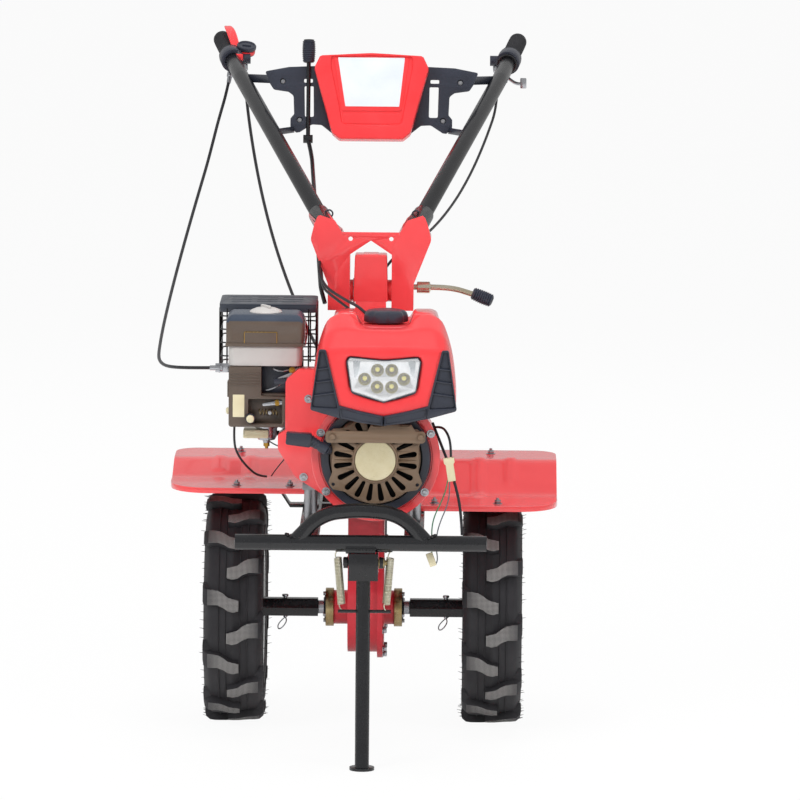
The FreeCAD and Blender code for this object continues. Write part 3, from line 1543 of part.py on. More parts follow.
os.makedirs("parts", exist_ok=True)
for item in nodes:
    item.Shape.exportStep(f"parts/{item.Label}.step")
whole = Part.makeCompound([item.Shape for item in nodes])
box = whole.BoundBox
print(f"{len(nodes)} nodes, X {box.XMin:.1f}..{box.XMax:.1f}, Y {box.YMin:.1f}..{box.YMax:.1f},"
      f" Z {box.ZMin:.1f}..{box.ZMax:.1f}")
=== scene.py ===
import json
import math

import bmesh
import bpy
from mathutils import Matrix, Vector

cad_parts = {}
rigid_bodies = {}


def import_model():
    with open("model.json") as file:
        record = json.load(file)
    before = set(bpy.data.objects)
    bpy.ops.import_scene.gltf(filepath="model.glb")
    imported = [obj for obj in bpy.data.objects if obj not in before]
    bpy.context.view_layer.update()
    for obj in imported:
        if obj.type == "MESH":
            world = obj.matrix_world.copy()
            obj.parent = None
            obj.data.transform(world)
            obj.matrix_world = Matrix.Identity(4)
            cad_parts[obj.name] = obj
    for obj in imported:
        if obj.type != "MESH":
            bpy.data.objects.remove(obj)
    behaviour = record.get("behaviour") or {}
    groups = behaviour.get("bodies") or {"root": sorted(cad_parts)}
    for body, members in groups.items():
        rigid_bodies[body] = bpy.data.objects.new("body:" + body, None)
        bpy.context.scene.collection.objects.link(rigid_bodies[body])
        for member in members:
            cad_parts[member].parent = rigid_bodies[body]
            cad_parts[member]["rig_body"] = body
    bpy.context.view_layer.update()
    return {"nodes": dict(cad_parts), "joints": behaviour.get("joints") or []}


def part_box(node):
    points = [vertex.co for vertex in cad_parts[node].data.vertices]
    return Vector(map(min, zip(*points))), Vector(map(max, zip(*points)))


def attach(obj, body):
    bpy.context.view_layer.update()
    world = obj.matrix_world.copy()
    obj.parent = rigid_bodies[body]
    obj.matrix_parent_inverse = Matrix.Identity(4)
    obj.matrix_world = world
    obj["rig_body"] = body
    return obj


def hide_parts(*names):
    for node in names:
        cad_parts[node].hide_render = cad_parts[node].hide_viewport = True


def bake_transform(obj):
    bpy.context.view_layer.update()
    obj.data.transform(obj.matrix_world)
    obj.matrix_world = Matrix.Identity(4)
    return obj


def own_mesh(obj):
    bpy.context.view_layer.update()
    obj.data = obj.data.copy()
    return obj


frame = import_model()
joints = {joint["name"]: joint for joint in frame["joints"]}
axle = Vector(joints["axle_spin"]["pos_m"])
mm = 0.001  # sizes and places are in millimetres, and Blender's unit is the metre
ahead, leftward, rightward, upward, downward = (0, -1, 0), (1, 0, 0), (-1, 0, 0), (0, 0, 1), (0, 0, -1)
print("frame loaded")


def spot(x, y, z):  # a place in millimetres, with the axle at y = 0 and the floor at z = 0
    return Vector((x * mm, axle.y + y * mm, z * mm))


def spots(*places):
    return [spot(*place) for place in places]


def local(x, y, z):  # millimetres from a piece's own middle
    return Vector((x, y, z)) * mm


def middle(node):
    low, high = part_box(node)
    return (Vector(low) + Vector(high)) / 2


# handling pieces

def letGo():
    if bpy.context.object and bpy.context.object.mode != "OBJECT":
        bpy.ops.object.mode_set(mode="OBJECT")
    bpy.ops.object.select_all(action="DESELECT")


def takeUp(*pieces):
    letGo()
    for piece in pieces:
        piece.select_set(True)
    bpy.context.view_layer.objects.active = pieces[0]
    return pieces[0]


def openMesh(piece, kind="FACE", action="DESELECT"):
    takeUp(piece)
    bpy.ops.object.mode_set(mode="EDIT")
    bpy.ops.mesh.select_mode(type=kind)
    bpy.ops.mesh.select_all(action=action)


def pick(piece, wanted):  # in edit mode, selects the faces that pass a test
    mesh = bmesh.from_edit_mesh(piece.data)
    for face in mesh.faces:
        face.select_set(bool(wanted(face)))
    mesh.select_flush_mode()
    bmesh.update_edit_mesh(piece.data)


def facing(way):
    return lambda face: face.normal.dot(way) > 0.9


def press(piece, wanted, *steps):  # insets the faces that pass a test, and moves them, for each (inset, move)
    openMesh(piece)
    pick(piece, wanted)
    for inset, move in steps:
        bpy.ops.mesh.inset(thickness=inset * mm)
        if move:
            bpy.ops.transform.translate(value=local(*move))
    letGo()
    return piece


def tidy(piece):
    openMesh(piece, "VERT", "SELECT")
    bpy.ops.mesh.remove_doubles(threshold=0.00001)
    bpy.ops.mesh.normals_make_consistent(inside=False)
    letGo()
    return piece


def meshed(piece):
    takeUp(piece)
    bpy.ops.object.convert(target="MESH")
    return bpy.context.object


def linked(name, data):
    piece = bpy.data.objects.new(name, data)
    bpy.context.scene.collection.objects.link(piece)
    return piece


def settle(piece, place=(0, 0, 0), along=upward, turn=0, lean=None):  # stands a piece on its place, in its mesh
    swing = lean if lean is not None else Vector(upward).rotation_difference(Vector(along))
    piece.matrix_world = (Matrix.Translation(place) @ swing.to_matrix().to_4x4()
                          @ Matrix.Rotation(turn, 4, "Z") @ piece.matrix_world)
    takeUp(piece)
    bpy.ops.object.transform_apply(location=True, rotation=True, scale=True)
    return piece


def turned(name, profile, place, along=upward, sides=32, closed=False):  # a turned piece on its place
    return settle(spun(name, profile, sides, closed), place, along=along)


def tilted(degrees, axis):
    return Matrix.Rotation(math.radians(degrees), 3, axis).to_quaternion()


def modify(piece, kind, **settings):
    takeUp(piece)
    modifier = piece.modifiers.new(kind, kind)
    for key, value in settings.items():
        setattr(modifier, key, value)
    bpy.ops.object.modifier_apply(modifier=modifier.name)
    return piece


def softEdges(piece, width, angle=35, segments=2):
    return modify(piece, "BEVEL", width=width * mm, segments=segments, limit_method="ANGLE",
                  angle_limit=math.radians(angle), miter_outer="MITER_ARC")


def copied(piece, name):
    return linked(name, piece.data.copy())


def joined(name, pieces):
    takeUp(*pieces)
    if len(pieces) > 1:
        bpy.ops.object.join()
    pieces[0].name = name
    return pieces[0]


def paint(piece, *materials):
    piece.data.materials.clear()
    for material in materials:
        piece.data.materials.append(material)
    return piece


def hand(piece, body, *nodes, slot=None, smooth=38):  # finishes a piece and gives it to its body
    takeUp(piece)
    bpy.ops.object.shade_smooth_by_angle(angle=math.radians(smooth))
    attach(piece, body)
    if nodes:
        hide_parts(*nodes)
    return piece


def give(name, pieces, material, slot, *nodes, body="chassis", smooth=38):  # joins, paints and hands over
    piece = joined(name, pieces if isinstance(pieces, list) else [pieces])
    return hand(paint(piece, material), body, *nodes, slot=slot, smooth=smooth)


# making pieces

def flat(points):
    return [tuple(value * mm for value in point) for point in points]


def rectangle(left, low, right, high, radius=0):
    return [(left, low, radius), (right, low, radius), (right, high, radius), (left, high, radius)]


def rounded(corners, steps=5):  # an outline whose corners (x, y, radius) are arcs
    outline = []
    for index, corner in enumerate(corners):
        here = Vector(corner[:2])
        if len(corner) < 3 or not corner[2]:
            outline.append(here)
            continue
        before = (Vector(corners[index - 1][:2]) - here).normalized()
        after = (Vector(corners[(index + 1) % len(corners)][:2]) - here).normalized()
        half = before.angle(after) / 2
        reach = corner[2] / math.tan(half)
        centre = here + (before + after).normalized() * (corner[2] / math.sin(half))
        first = here + before * reach - centre
        sweep = first.angle_signed(here + after * reach - centre)
        outline += [centre + Matrix.Rotation(-sweep * step / steps, 2) @ first for step in range(steps + 1)]
    return outline


def lineCurve(name, lines, closed, **settings):
    curve = bpy.data.curves.new(name, "CURVE")
    for key, value in settings.items():
        setattr(curve, key, value)
    for line in lines:
        spline = curve.splines.new("POLY")
        spline.points.add(len(line) - 1)
        for point, place in zip(spline.points, line):
            point.co = (*place, 1)
        spline.use_cyclic_u = closed
    return linked(name, curve)


def plate(name, corners, thick, holes=(), edge=0.4):  # a flat sheet lying on z = 0, with eased edges
    lines = [[(point[0], point[1], 0) for point in rounded(flat(line))] for line in (corners, *holes)]
    sheet = lineCurve(name, lines, True, dimensions="2D", fill_mode="BOTH", extrude=(thick / 2 - edge) * mm,
                      bevel_depth=edge * mm, bevel_resolution=1, offset=-edge * mm)
    sheet.location.z = thick / 2 * mm
    return settle(tidy(meshed(sheet)))


facingAhead = Matrix(((1, 0, 0), (0, 0, -1), (0, 1, 0)))


def standing(name, corners, thick, edge, depth, holes=()):  # a plate drawn in x and z, facing forwards at a depth
    sheet = plate(name, corners, thick, holes, edge)
    return settle(sheet, (0, axle.y + depth * mm, 0), lean=facingAhead.to_quaternion())


def around(radius, degrees):
    return radius * math.cos(math.radians(degrees)), radius * math.sin(math.radians(degrees))


def sided(points, side, centre=0):  # an outline for the left, or its mirror image for the right
    points = [(centre + x * side, up, *radius) for x, up, *radius in points]
    return points if side > 0 else points[::-1]


def disc(radius, centre=(0, 0), sides=24):
    return [(centre[0] + radius * math.cos(2 * math.pi * i / sides),
             centre[1] + radius * math.sin(2 * math.pi * i / sides)) for i in range(sides)]


def spun(name, profile, sides=32, closed=False):  # a profile of (radius, height) turned about z
    piece = meshed(lineCurve(name, [[(x * mm, 0, z * mm) for x, z in profile]], closed, dimensions="3D"))
    openMesh(piece, "VERT", "SELECT")
    bpy.ops.mesh.spin(steps=sides, angle=2 * math.pi, center=(0, 0, 0), axis=upward)
    return tidy(piece)


def smoothLine(name, route, radius, sides=3):  # a round bar or cord along a NURBS line
    curve = bpy.data.curves.new(name, "CURVE")
    curve.dimensions = "3D"
    curve.resolution_u = 10
    curve.bevel_depth = radius * mm
    curve.bevel_resolution = sides
    curve.use_fill_caps = True
    spline = curve.splines.new("NURBS")
    spline.points.add(len(route) - 1)
    for point, place in zip(spline.points, route):
        point.co = (*place, 1)
    spline.order_u = 3
    spline.use_endpoint_u = True
    return linked(name, curve)


def tube(name, route, radius, sides=4):  # a bent bar or hose, as a mesh with closed ends
    return tidy(meshed(smoothLine(name, route, radius, sides)))


def bar(name, start, end, radius, edge=0.8, sides=24):  # a turned bar with chamfered ends
    way = Vector(end) - Vector(start)
    long = way.length / mm
    profile = [(0, 0), (radius - edge, 0), (radius, edge), (radius, long - edge), (radius - edge, long), (0, long)]
    return settle(spun(name, profile, sides), start, along=way.normalized())


def block(name, low, high, edge=0, segments=2):
    letGo()
    bpy.ops.mesh.primitive_cube_add(size=1, location=(low + high) / 2, scale=high - low)
    piece = bpy.context.object
    piece.name = name
    bpy.ops.object.transform_apply(location=True, rotation=True, scale=True)
    return softEdges(piece, edge, segments=segments) if edge else piece


def lofted(name, rows):  # closed loops of the same number of points, bridged in order, with flat ends
    count = len(rows[0])
    faces = [(r * count + i, r * count + (i + 1) % count, (r + 1) * count + (i + 1) % count, (r + 1) * count + i)
             for r in range(len(rows) - 1) for i in range(count)]
    faces += [tuple(range(count)), tuple((len(rows) - 1) * count + i for i in range(count))]
    mesh = bpy.data.meshes.new(name)
    mesh.from_pydata([tuple(point) for row in rows for point in row], [], faces)
    piece = linked(name, mesh)
    openMesh(piece, action="SELECT")
    bpy.ops.mesh.normals_make_consistent(inside=False)
    letGo()
    return piece


def hexHead(across, tall, washer, nose=0):  # a flanged bolt head standing on z = 0
    letGo()
    bpy.ops.mesh.primitive_cylinder_add(vertices=6, radius=across * mm / math.sqrt(3), depth=tall * mm,
                                        location=(0, 0, (1.2 + tall / 2) * mm))
    head = bpy.context.object
    bpy.ops.object.transform_apply(location=True, rotation=True, scale=True)
    press(head, facing(upward), (across * 0.07, (0, 0, tall * 0.1)), (across * 0.18, (0, 0, -tall * 0.08)))
    softEdges(head, across * 0.03, segments=1)
    parts = [head, spun("washer", [(0, 0), (washer, 0), (washer, 1), (washer - 0.4, 1.4), (0, 1.4)], 24)]
    if nose:
        parts.append(bar("nose", local(0, 0, 1), local(0, 0, 1.2 + tall + nose), across * 0.28, edge=0.6, sides=16))
    return joined("head", parts)


def fastened(name, material, pattern, places, slot, body="chassis"):  # one head copied to (place, direction, turn)
    parts = [settle(copied(pattern, "one"), place, along=along, turn=math.radians(turn[0] if turn else 0))
             for place, along, *turn in places]
    bpy.data.objects.remove(pattern)
    return give(name, parts, material, slot, body=body)


def skin(node, material):  # a CAD piece's own form, with eased edges and smooth shading
    source = frame["nodes"][node]
    piece = tidy(linked(node + "_finished", source.data.copy()))
    openMesh(piece, "VERT", "SELECT")
    bpy.ops.mesh.dissolve_limited(angle_limit=math.radians(1.5))
    softEdges(piece, 0.8)
    return hand(paint(piece, material), source["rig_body"], node)


# camera, floor and light

view = {"distance": 12.0, "height": 2.203, "aimX": 0.063, "aimZ": 0.593, "swing": 0.5, "roll": 0.45,
        "frameWidth": 1.45852, "sensor": 36}
lamps = {"front left": ((-3.2, -4.6, 3.4), 2.0, 175), "front right": ((3.6, -4.2, 2.8), 1.6, 95),
         "overhead": ((0, -0.6, 4.6), 2.2, 95), "behind": ((0.5, 4.0, 3.2), 2.4, 60)}  # place, size, watts
ground = {"glossShare": 0.3, "floorShare": 0.94, "ambient": 0.34}


def placeCamera():
    swing, roll = math.radians(view["swing"]), math.radians(view["roll"])
    eye = Vector((view["aimX"] + view["distance"] * math.sin(swing),
                  axle.y - view["distance"] * math.cos(swing), view["height"]))
    aim = Vector((view["aimX"], axle.y, view["aimZ"])) - eye
    forward = aim.normalized()
    level = forward.cross(Vector(upward)).normalized()
    upright = level.cross(forward)
    right = level * math.cos(roll) + upright * math.sin(roll)
    up = upright * math.cos(roll) - level * math.sin(roll)
    camera = linked("camera", bpy.data.cameras.new("camera"))
    camera.data.lens = aim.length * view["sensor"] / view["frameWidth"]
    camera.data.clip_end = 60
    camera.matrix_world = Matrix((right, up, -forward)).transposed().to_4x4()
    camera.location = eye
    bpy.context.scene.camera = camera


placeCamera()


def linear(code):
    parts = [int(code[i:i + 2], 16) / 255 for i in (1, 3, 5)]
    return (*[c / 12.92 if c <= 0.04045 else ((c + 0.055) / 1.055) ** 2.4 for c in parts], 1)


def addNode(tree, kind, inputs=None, **settings):
    made = tree.nodes.new("ShaderNode" + kind)
    for key, value in settings.items():
        setattr(made, key, value)
    for key, value in (inputs or {}).items():
        if isinstance(value, bpy.types.Node):
            value = value.outputs[0]
        if isinstance(value, bpy.types.NodeSocket):
            tree.links.new(value, made.inputs[key])
        else:
            made.inputs[key].default_value = value
    return made


def paleRays(tree):  # which rays see the white ground: the camera's, part of the reflected ones, those through glass
    rays = addNode(tree, "LightPath").outputs
    reflected = addNode(tree, "Math", {0: rays["Is Glossy Ray"], 1: ground["glossShare"]}, operation="MULTIPLY")
    direct = addNode(tree, "Math", {0: rays["Is Camera Ray"], 1: rays["Is Transmission Ray"]}, operation="MAXIMUM")
    return addNode(tree, "Math", {0: direct, 1: reflected}, operation="MAXIMUM")


def emptyTree(owner):
    owner.use_nodes = True
    owner.node_tree.nodes.clear()
    return owner.node_tree


def studio():
    letGo()
    bpy.ops.mesh.primitive_plane_add(size=60, location=(0, 0, -0.0006))
    floor = bpy.context.object
    floor.name = "floor"
    pale = bpy.data.materials.new("pale floor")
    tree = emptyTree(pale)
    share = addNode(tree, "Math", {0: paleRays(tree), 1: ground["floorShare"]}, operation="MULTIPLY")
    matt = addNode(tree, "BsdfDiffuse", {"Color": linear("#f4f4f4")})
    glow = addNode(tree, "Emission", {"Color": (1, 1, 1, 1), "Strength": 1.0})
    mixed = addNode(tree, "MixShader", {0: share, 1: matt, 2: glow})
    addNode(tree, "OutputMaterial", {0: mixed})
    paint(floor, pale)
    world = bpy.data.worlds.new("studio")
    bpy.context.scene.world = world
    tree = emptyTree(world)
    strength = addNode(tree, "MapRange", {0: paleRays(tree), 3: ground["ambient"], 4: 1.0})
    addNode(tree, "OutputWorld", {0: addNode(tree, "Background", {"Color": (1, 1, 1, 1), "Strength": strength})})
    for name, (place, size, power) in lamps.items():
        lamp = bpy.data.lights.new(name, "AREA")
        lamp.shape = "SQUARE"
        lamp.size = size
        lamp.energy = power
        item = linked(name, lamp)
        item.location = Vector(place) + Vector((0, axle.y, 0))
        item.rotation_euler = (Vector((0, axle.y, 0.55)) - item.location).to_track_quat("-Z", "Y").to_euler()
        item.visible_glossy = False
    bpy.context.scene.view_settings.view_transform = "Standard"


studio()
print("camera, floor and lamps ready")


# finishes

def startMaterial(name, colour, roughness, **sockets):
    material = bpy.data.materials.new(name)
    tree = emptyTree(material)
    shader = addNode(tree, "BsdfPrincipled", {"Base Color": linear(colour), "Roughness": roughness, **sockets})
    addNode(tree, "OutputMaterial", {0: shader})
    return material, tree, shader, addNode(tree, "TexCoord").outputs["Object"]


def surfaced(tree, shader, colours, tone, gloss, relief):
    # tone is (pattern, low, high), gloss is (pattern, low, high, least, most), relief is (pattern, mm, strength)
    factor = addNode(tree, "MapRange", dict(enumerate(tone)))
    mixed = addNode(tree, "Mix", {0: factor, 6: linear(colours[0]), 7: linear(colours[1])}, data_type="RGBA")
    bump = addNode(tree, "Bump", {"Height": relief[0], "Distance": relief[1] * mm, "Strength": relief[2]})
    tree.links.new(mixed.outputs[2], shader.inputs["Base Color"])
    tree.links.new(bump.outputs[0], shader.inputs["Normal"])
    if gloss:
        rough = addNode(tree, "MapRange", dict(enumerate(gloss)))
        tree.links.new(rough.outputs[0], shader.inputs["Roughness"])


def enamel(name, colour, shade, roughness=0.2, coat=0.6):
    # sprayed alkyd enamel on steel: gloss with orange peel about 3 mm across, and a slightly dusty, uneven shade
    coats = {"Coat Weight": coat, "Coat Roughness": 0.07}
    material, tree, shader, place = startMaterial(name, colour, roughness, **coats)
    dust = addNode(tree, "TexNoise", {"Vector": place, "Scale": 9, "Detail": 3, "Roughness": 0.6})
    gloss = addNode(tree, "TexNoise", {"Vector": place, "Scale": 60, "Detail": 2})
    peel = addNode(tree, "TexNoise", {"Vector": place, "Scale": 1 / (3 * mm), "Detail": 1})
    surfaced(tree, shader, (colour, shade), (dust, 0.35, 0.7),
             (gloss, 0.3, 0.7, roughness * 0.85, roughness * 1.25), (peel, 0.006, 0.5))
    return material


def plastic(name, colour, shade, roughness=0.45, relief=0.05):
    # injection-moulded ABS or nylon: an even colour with a spark-eroded grain of 0.8 mm, and faint flow marks
    material, tree, shader, place = startMaterial(name, colour, roughness)
    flow = addNode(tree, "TexNoise", {"Vector": place, "Scale": 14, "Detail": 4, "Distortion": 0.6})
    grain = addNode(tree, "TexNoise", {"Vector": place, "Scale": 1 / (0.8 * mm), "Detail": 2, "Roughness": 0.7})
    surfaced(tree, shader, (colour, shade), (flow, 0.3, 0.75),
             (grain, 0.3, 0.7, roughness - 0.06, roughness + 0.08), (grain, relief, 0.6))
    return material


def metal(name, colour, shade, roughness=0.32, grain=(4, 4, 0.6), relief=0.02):
    # bare or plated metal: drawing or machining lines along one axis, with patches of duller plating 30 mm across
    material, tree, shader, place = startMaterial(name, colour, roughness, Metallic=1.0)
    patches = addNode(tree, "TexNoise", {"Vector": place, "Scale": 1 / (30 * mm), "Detail": 4, "Roughness": 0.65})
    stretched = addNode(tree, "Mapping", {0: place, 3: tuple(1 / (size * mm) for size in grain)})
    lines = addNode(tree, "TexNoise", {"Vector": stretched, "Scale": 1, "Detail": 2})
    surfaced(tree, shader, (colour, shade), (patches, 0.32, 0.68),
             (lines, 0.25, 0.75, roughness * 0.75, roughness * 1.35), (lines, relief, 0.5))
    return material


def casting(name, colour, shade, metallic, roughness=0.5, grit=1.6, relief=0.25):
    # a sand or die casting: pebbled skin with grit of 1 to 2 mm, bare or under one coat of paint
    material, tree, shader, place = startMaterial(name, colour, roughness, Metallic=metallic)
    patches = addNode(tree, "TexNoise", {"Vector": place, "Scale": 22, "Detail": 5, "Roughness": 0.7})
    pebbles = addNode(tree, "TexVoronoi", {"Vector": place, "Scale": 1 / (grit * mm)}, feature="SMOOTH_F1")
    fine = addNode(tree, "TexNoise", {"Vector": place, "Scale": 2.4 / (grit * mm), "Detail": 3})
    height = addNode(tree, "Math", {0: pebbles, 1: fine}, operation="ADD")
    surfaced(tree, shader, (colour, shade), (patches, 0.3, 0.7),
             (fine, 0.3, 0.7, roughness * 0.85, roughness * 1.15), (height, relief, 0.6))
    return material


def tyreRubber(name, colour, shade, knurl=0):
    # vulcanised natural rubber: matt charcoal, bloomed grey in patches; lug tops carry a moulded diamond pattern,
    # drawn at about 4 mm so that it shows; its raised diamonds are coloured pale as painted glints, which fade down the
    # side wall as painted shade
    material, tree, shader, place = startMaterial(name, colour, 0.68)
    if not knurl:
        bloom = addNode(tree, "TexNoise", {"Vector": place, "Scale": 16, "Detail": 5, "Roughness": 0.6})
        fine = addNode(tree, "TexNoise", {"Vector": place, "Scale": 700, "Detail": 2})
        surfaced(tree, shader, (colour, shade), (bloom, 0.35, 0.7), None, (fine, 0.1, 0.7))
        return material
    across, down = addNode(tree, "SeparateXYZ", {0: addNode(tree, "UVMap", uv_map="surface")}).outputs[:2]
    waves = []
    for kind in ("ADD", "SUBTRACT"):
        diagonal = addNode(tree, "Math", {0: across, 1: down}, operation=kind)
        scaled = addNode(tree, "Math", {0: diagonal, 1: 2 * math.pi / (knurl * mm)}, operation="MULTIPLY")
        waves.append(addNode(tree, "Math", {0: scaled}, operation="SINE"))
    diamonds = addNode(tree, "Math", {0: waves[0], 1: waves[1]}, operation="MULTIPLY")
    raised = addNode(tree, "MapRange", {0: diamonds, 1: -0.35, 2: 0.35}, interpolation_type="SMOOTHSTEP")
    # painted glints: the raised diamonds are coloured pale, less so towards the shoulder as painted shade
    glintShadeFade = addNode(tree, "MapRange", {0: across, 1: 0.022, 2: 0.052, 3: 1.0, 4: 0.16})
    pale = addNode(tree, "Math", {0: raised, 1: glintShadeFade}, operation="MULTIPLY")
    surfaced(tree, shader, (colour, shade), (pale, 0, 1), None, (raised, 0.6, 0.7))
    return material


redEnamel = enamel("red enamel on pressed steel", "#ee464a", "#f24c4f")
# darker than the red enamel: the red of the paint, with painted shade for the gearbox lying below the mudguards
redCasting = casting("red paint on cast iron", "#cd2b38", "#bd2531", 0.0, roughness=0.3)
redAbs = plastic("gloss red ABS moulding", "#ec383c", "#f04044", roughness=0.22, relief=0.004)
blackEnamel = enamel("black enamel on steel tube", "#101013", "#17181b", roughness=0.24, coat=0.15)
# black paint lightened to blue-grey as a painted reflection of the sky on the guard's lid
guardPaintSkyReflection = enamel("black paint with painted sky reflection", "#2e323b", "#383d47", roughness=0.34, coat=0.0)
creamZinc = metal("pale passivated zinc", "#e2dac8", "#cbbfa4", roughness=0.24)
yellowZinc = metal("yellow-passivated zinc plate", "#b5a57e", "#9c8459", roughness=0.3)
zincWire = metal("zinc-plated spring wire", "#f0ecd8", "#dcd7bd", roughness=0.42)
brightSteel = metal("bright zinc plate", "#c3c4c8", "#a4a6ab", roughness=0.25)
chrome = metal("chromium plate", "#e2e2e6", "#cfd0d4", roughness=0.1)
brass = metal("turned brass", "#c9a24e", "#b08637", roughness=0.28)
rawAluminium = casting("die-cast aluminium", "#a9aaad", "#8f9094", 1.0, roughness=0.42, grit=1, relief=0.1)
exhaustSteel = metal("heat-dulled exhaust steel", "#5b554f", "#3f3a37", roughness=0.5)
taupeCover = plastic("bronze-grey painted cover", "#725d4a", "#7b6653", roughness=0.34, relief=0.02)
brownCover = plastic("dark brown ABS moulding", "#564a41", "#5f5349", roughness=0.3, relief=0.02)
blackPlastic = plastic("black ABS moulding", "#292c36", "#333743", roughness=0.3, relief=0.02)
greyPlastic = plastic("silver-grey ABS moulding", "#bab6b3", "#c8c4c1", roughness=0.34)
whitePlastic = plastic("cream nylon connector", "#e2d9b8", "#d4c9a4", roughness=0.42)
rubberSide = tyreRubber("tyre rubber", "#242326", "#302f32")
# the pale second colour is a painted glint on the knurl's diamonds, not the rubber's own colour
rubberTopPaintedGlints = tyreRubber("knurled tyre lug rubber with painted glints", "#323135", "#a5a3a0", knurl=4.4)
gripRubber = tyreRubber("soft grip rubber", "#202023", "#29292c")
cableJacket = plastic("extruded PVC cable jacket", "#1c1c1f", "#26262a", roughness=0.4)

finishFor = (
    (redCasting, "gearbox_case"), (redEnamel, "fan_shroud fuel_tank handle_post handlebar_bracket"),
    (blackEnamel, "engine_frame front_bumper stand_bracket stand_leg hub_left hub_right handle_tube_left "
                  "handle_tube_right fender_brackets rear_hitch gear_lever rim_left rim_right"),
    (yellowZinc, "bearing_caps"), (brightSteel, "axle_shaft"),
    (rawAluminium, "engine_block cylinder clutch_housing carburettor"), (exhaustSteel, "muffler"),
    (greyPlastic, "air_cleaner_base"), (blackPlastic, "lever_clamp_left lever_clamp_right"))
skins = {name: skin(name, finish) for finish, nodes in finishFor for name in nodes.split()}


def ease(value, low, high):
    share = min(1, max(0, (value - low) / (high - low)))
    return share * share * (3 - 2 * share)


handle = {"x": 8, "sway": -18, "front": (93, 92, 918), "bend": (248, 745, 1116), "end": (290, 1000, 1170)}


def barMiddle(y):  # the handlebar runs a little to one side towards its grips
    first, last = handle["front"][1], handle["end"][1]
    return handle["x"] + handle["sway"] * max(0, (y - first) / (last - first))


def tubeLine(side):
    bend, end = (Vector((barMiddle(y) + x * side, y, z)) for x, y, z in (handle["bend"], handle["end"]))
    return bend, end, (bend - end).normalized()


bracketShape = {"rise": 0.010, "from": 0.795, "to": 0.872, "behind": 0.066,  # metres
                "bore": 0.0146, "sleeve": 0.0204, "sleeveStart": -0.088, "sleeveEnd": 0.016, "bendMiddle": -5}
tankShape = {"drop": 0.42, "above": 0.752, "front": -0.335, "rear": -0.20}  # a share, then metres


def reshape():  # the bracket's ears a little taller, its sockets black, and the tank's shoulders lower at the back
    b = bracketShape
    bracket = skins["handlebar_bracket"].data
    lines = []
    for side in (1, -1):
        start = spot(handle["x"] + handle["front"][0] * side, *handle["front"][1:])
        bend = spot(b["bendMiddle"] + handle["bend"][0] * side, *handle["bend"][1:])
        lines.append((start, (bend - start).normalized()))

    def onSocket(place):
        for start, way in lines:
            away = place - start
            along = away.dot(way)
            if b["sleeveStart"] < along < b["sleeveEnd"] and b["bore"] < (away - way * along).length < b["sleeve"]:
                return True
        return False

    sockets = [onSocket(vertex.co) for vertex in bracket.vertices]
    bracket.materials.append(blackEnamel)
    for face in bracket.polygons:
        if all(sockets[index] for index in face.vertices):
            face.material_index = 1
    for vertex, fixed in zip(bracket.vertices, sockets):
        if vertex.co.y < axle.y + b["behind"] and not fixed:
            vertex.co.z += b["rise"] * ease(vertex.co.z, b["from"], b["to"])
    for vertex in skins["fuel_tank"].data.vertices:
        back = ease(vertex.co.y - axle.y, tankShape["front"], tankShape["rear"])
        vertex.co.z -= tankShape["drop"] * back * max(0, vertex.co.z - tankShape["above"])


reshape()
print("CAD pieces finished")


# cords

cords = {
    "throttle_cable": {"radius": 3, "crossing": ((-318, 720, 950), (-372, -120, 688)), "route": [
        (-278.4, 872, 1117.5), (-285, 850, 1080), (-299, 800, 1030), (-307, 768, 996), (-318, 720, 950),
        (-328.3, 650, 912.3), (-337.6, 580, 877.4), (-345.8, 510, 845.5), (-352.9, 440, 816.4),
        (-359, 370, 790.3), (-364, 300, 767), (-368, 230, 746.6), (-370.9, 160, 729.1), (-372.8, 90, 714.5),
        (-373.6, 20, 702.8), (-373.3, -50, 693.9), (-372, -120, 688), (-368, -180, 684.5),
        (-356, -240, 683.5), (-335, -290, 687), (-302, -318, 690), (-262, -322, 691)]},
    "clutch_cable": {"radius": 3, "crossing": ((-220, 726, 1004), (-90, 26, 686)), "route": [
        (-251.4, 868, 1131.2), (-249, 846, 1096), (-244, 806, 1056), (-235.3, 735.1, 1014.4),
        (-225.5, 664.2, 974.4), (-214.7, 593.3, 936), (-202.8, 522.4, 899.2), (-189.9, 451.5, 864),
        (-175.9, 380.5, 830.4), (-160.8, 309.6, 798.3), (-144.7, 238.7, 767.9), (-127.5, 167.8, 739),
        (-109.3, 96.9, 711.7), (-90, 26, 686), (-62, -44, 660), (-33.3, -102, 646)]},
    "lock_cable": {"radius": 2.5, "crossing": ((140, 320, 900), (15, 58, 765)), "route": [
        (236.6, 868, 1131.2), (241, 846, 1098), (236, 800, 1050), (225.2, 738.4, 1023.2),
        (213.8, 676.8, 998.6), (202, 615.2, 976), (189.8, 553.6, 955.4), (177, 492, 937),
        (163.8, 430.4, 920.6), (150, 368.8, 906.4), (135.8, 307.2, 894.2), (121.2, 245.6, 884),
        (106, 184, 876), (80, 126, 866), (54, 94, 850), (30, 74, 822), (18, 62, 792), (15, 57.8, 760)]},
    "lamp_lead": {"radius": 2.5, "crossing": ((-87, 73, 880), (-40, -78, 777)), "route": [
        (-82, 74, 888), (-87, 73, 852), (-82, 55, 815), (-80, 12, 797), (-62, -35, 787), (-40, -78, 777),
        (-18, -114, 765)]},
    "stop_lead": {"radius": 2.5, "crossing": None, "route": [
        (124.1, -352, 600), (137, -370, 570), (154, -398, 532), (168, -426, 492), (176, -448, 452),
        (178, -459.5, 416)]},
}  # a crossing says where a cable leaves the handlebar and where it joins the engine's side


def centreLine(piece):
    depth, piece.data.bevel_depth = piece.data.bevel_depth, 0
    bpy.context.view_layer.update()
    line = bpy.data.meshes.new_from_object(piece.evaluated_get(bpy.context.evaluated_depsgraph_get()))
    piece.data.bevel_depth = depth
    return [tuple(vertex.co) for vertex in line.vertices]


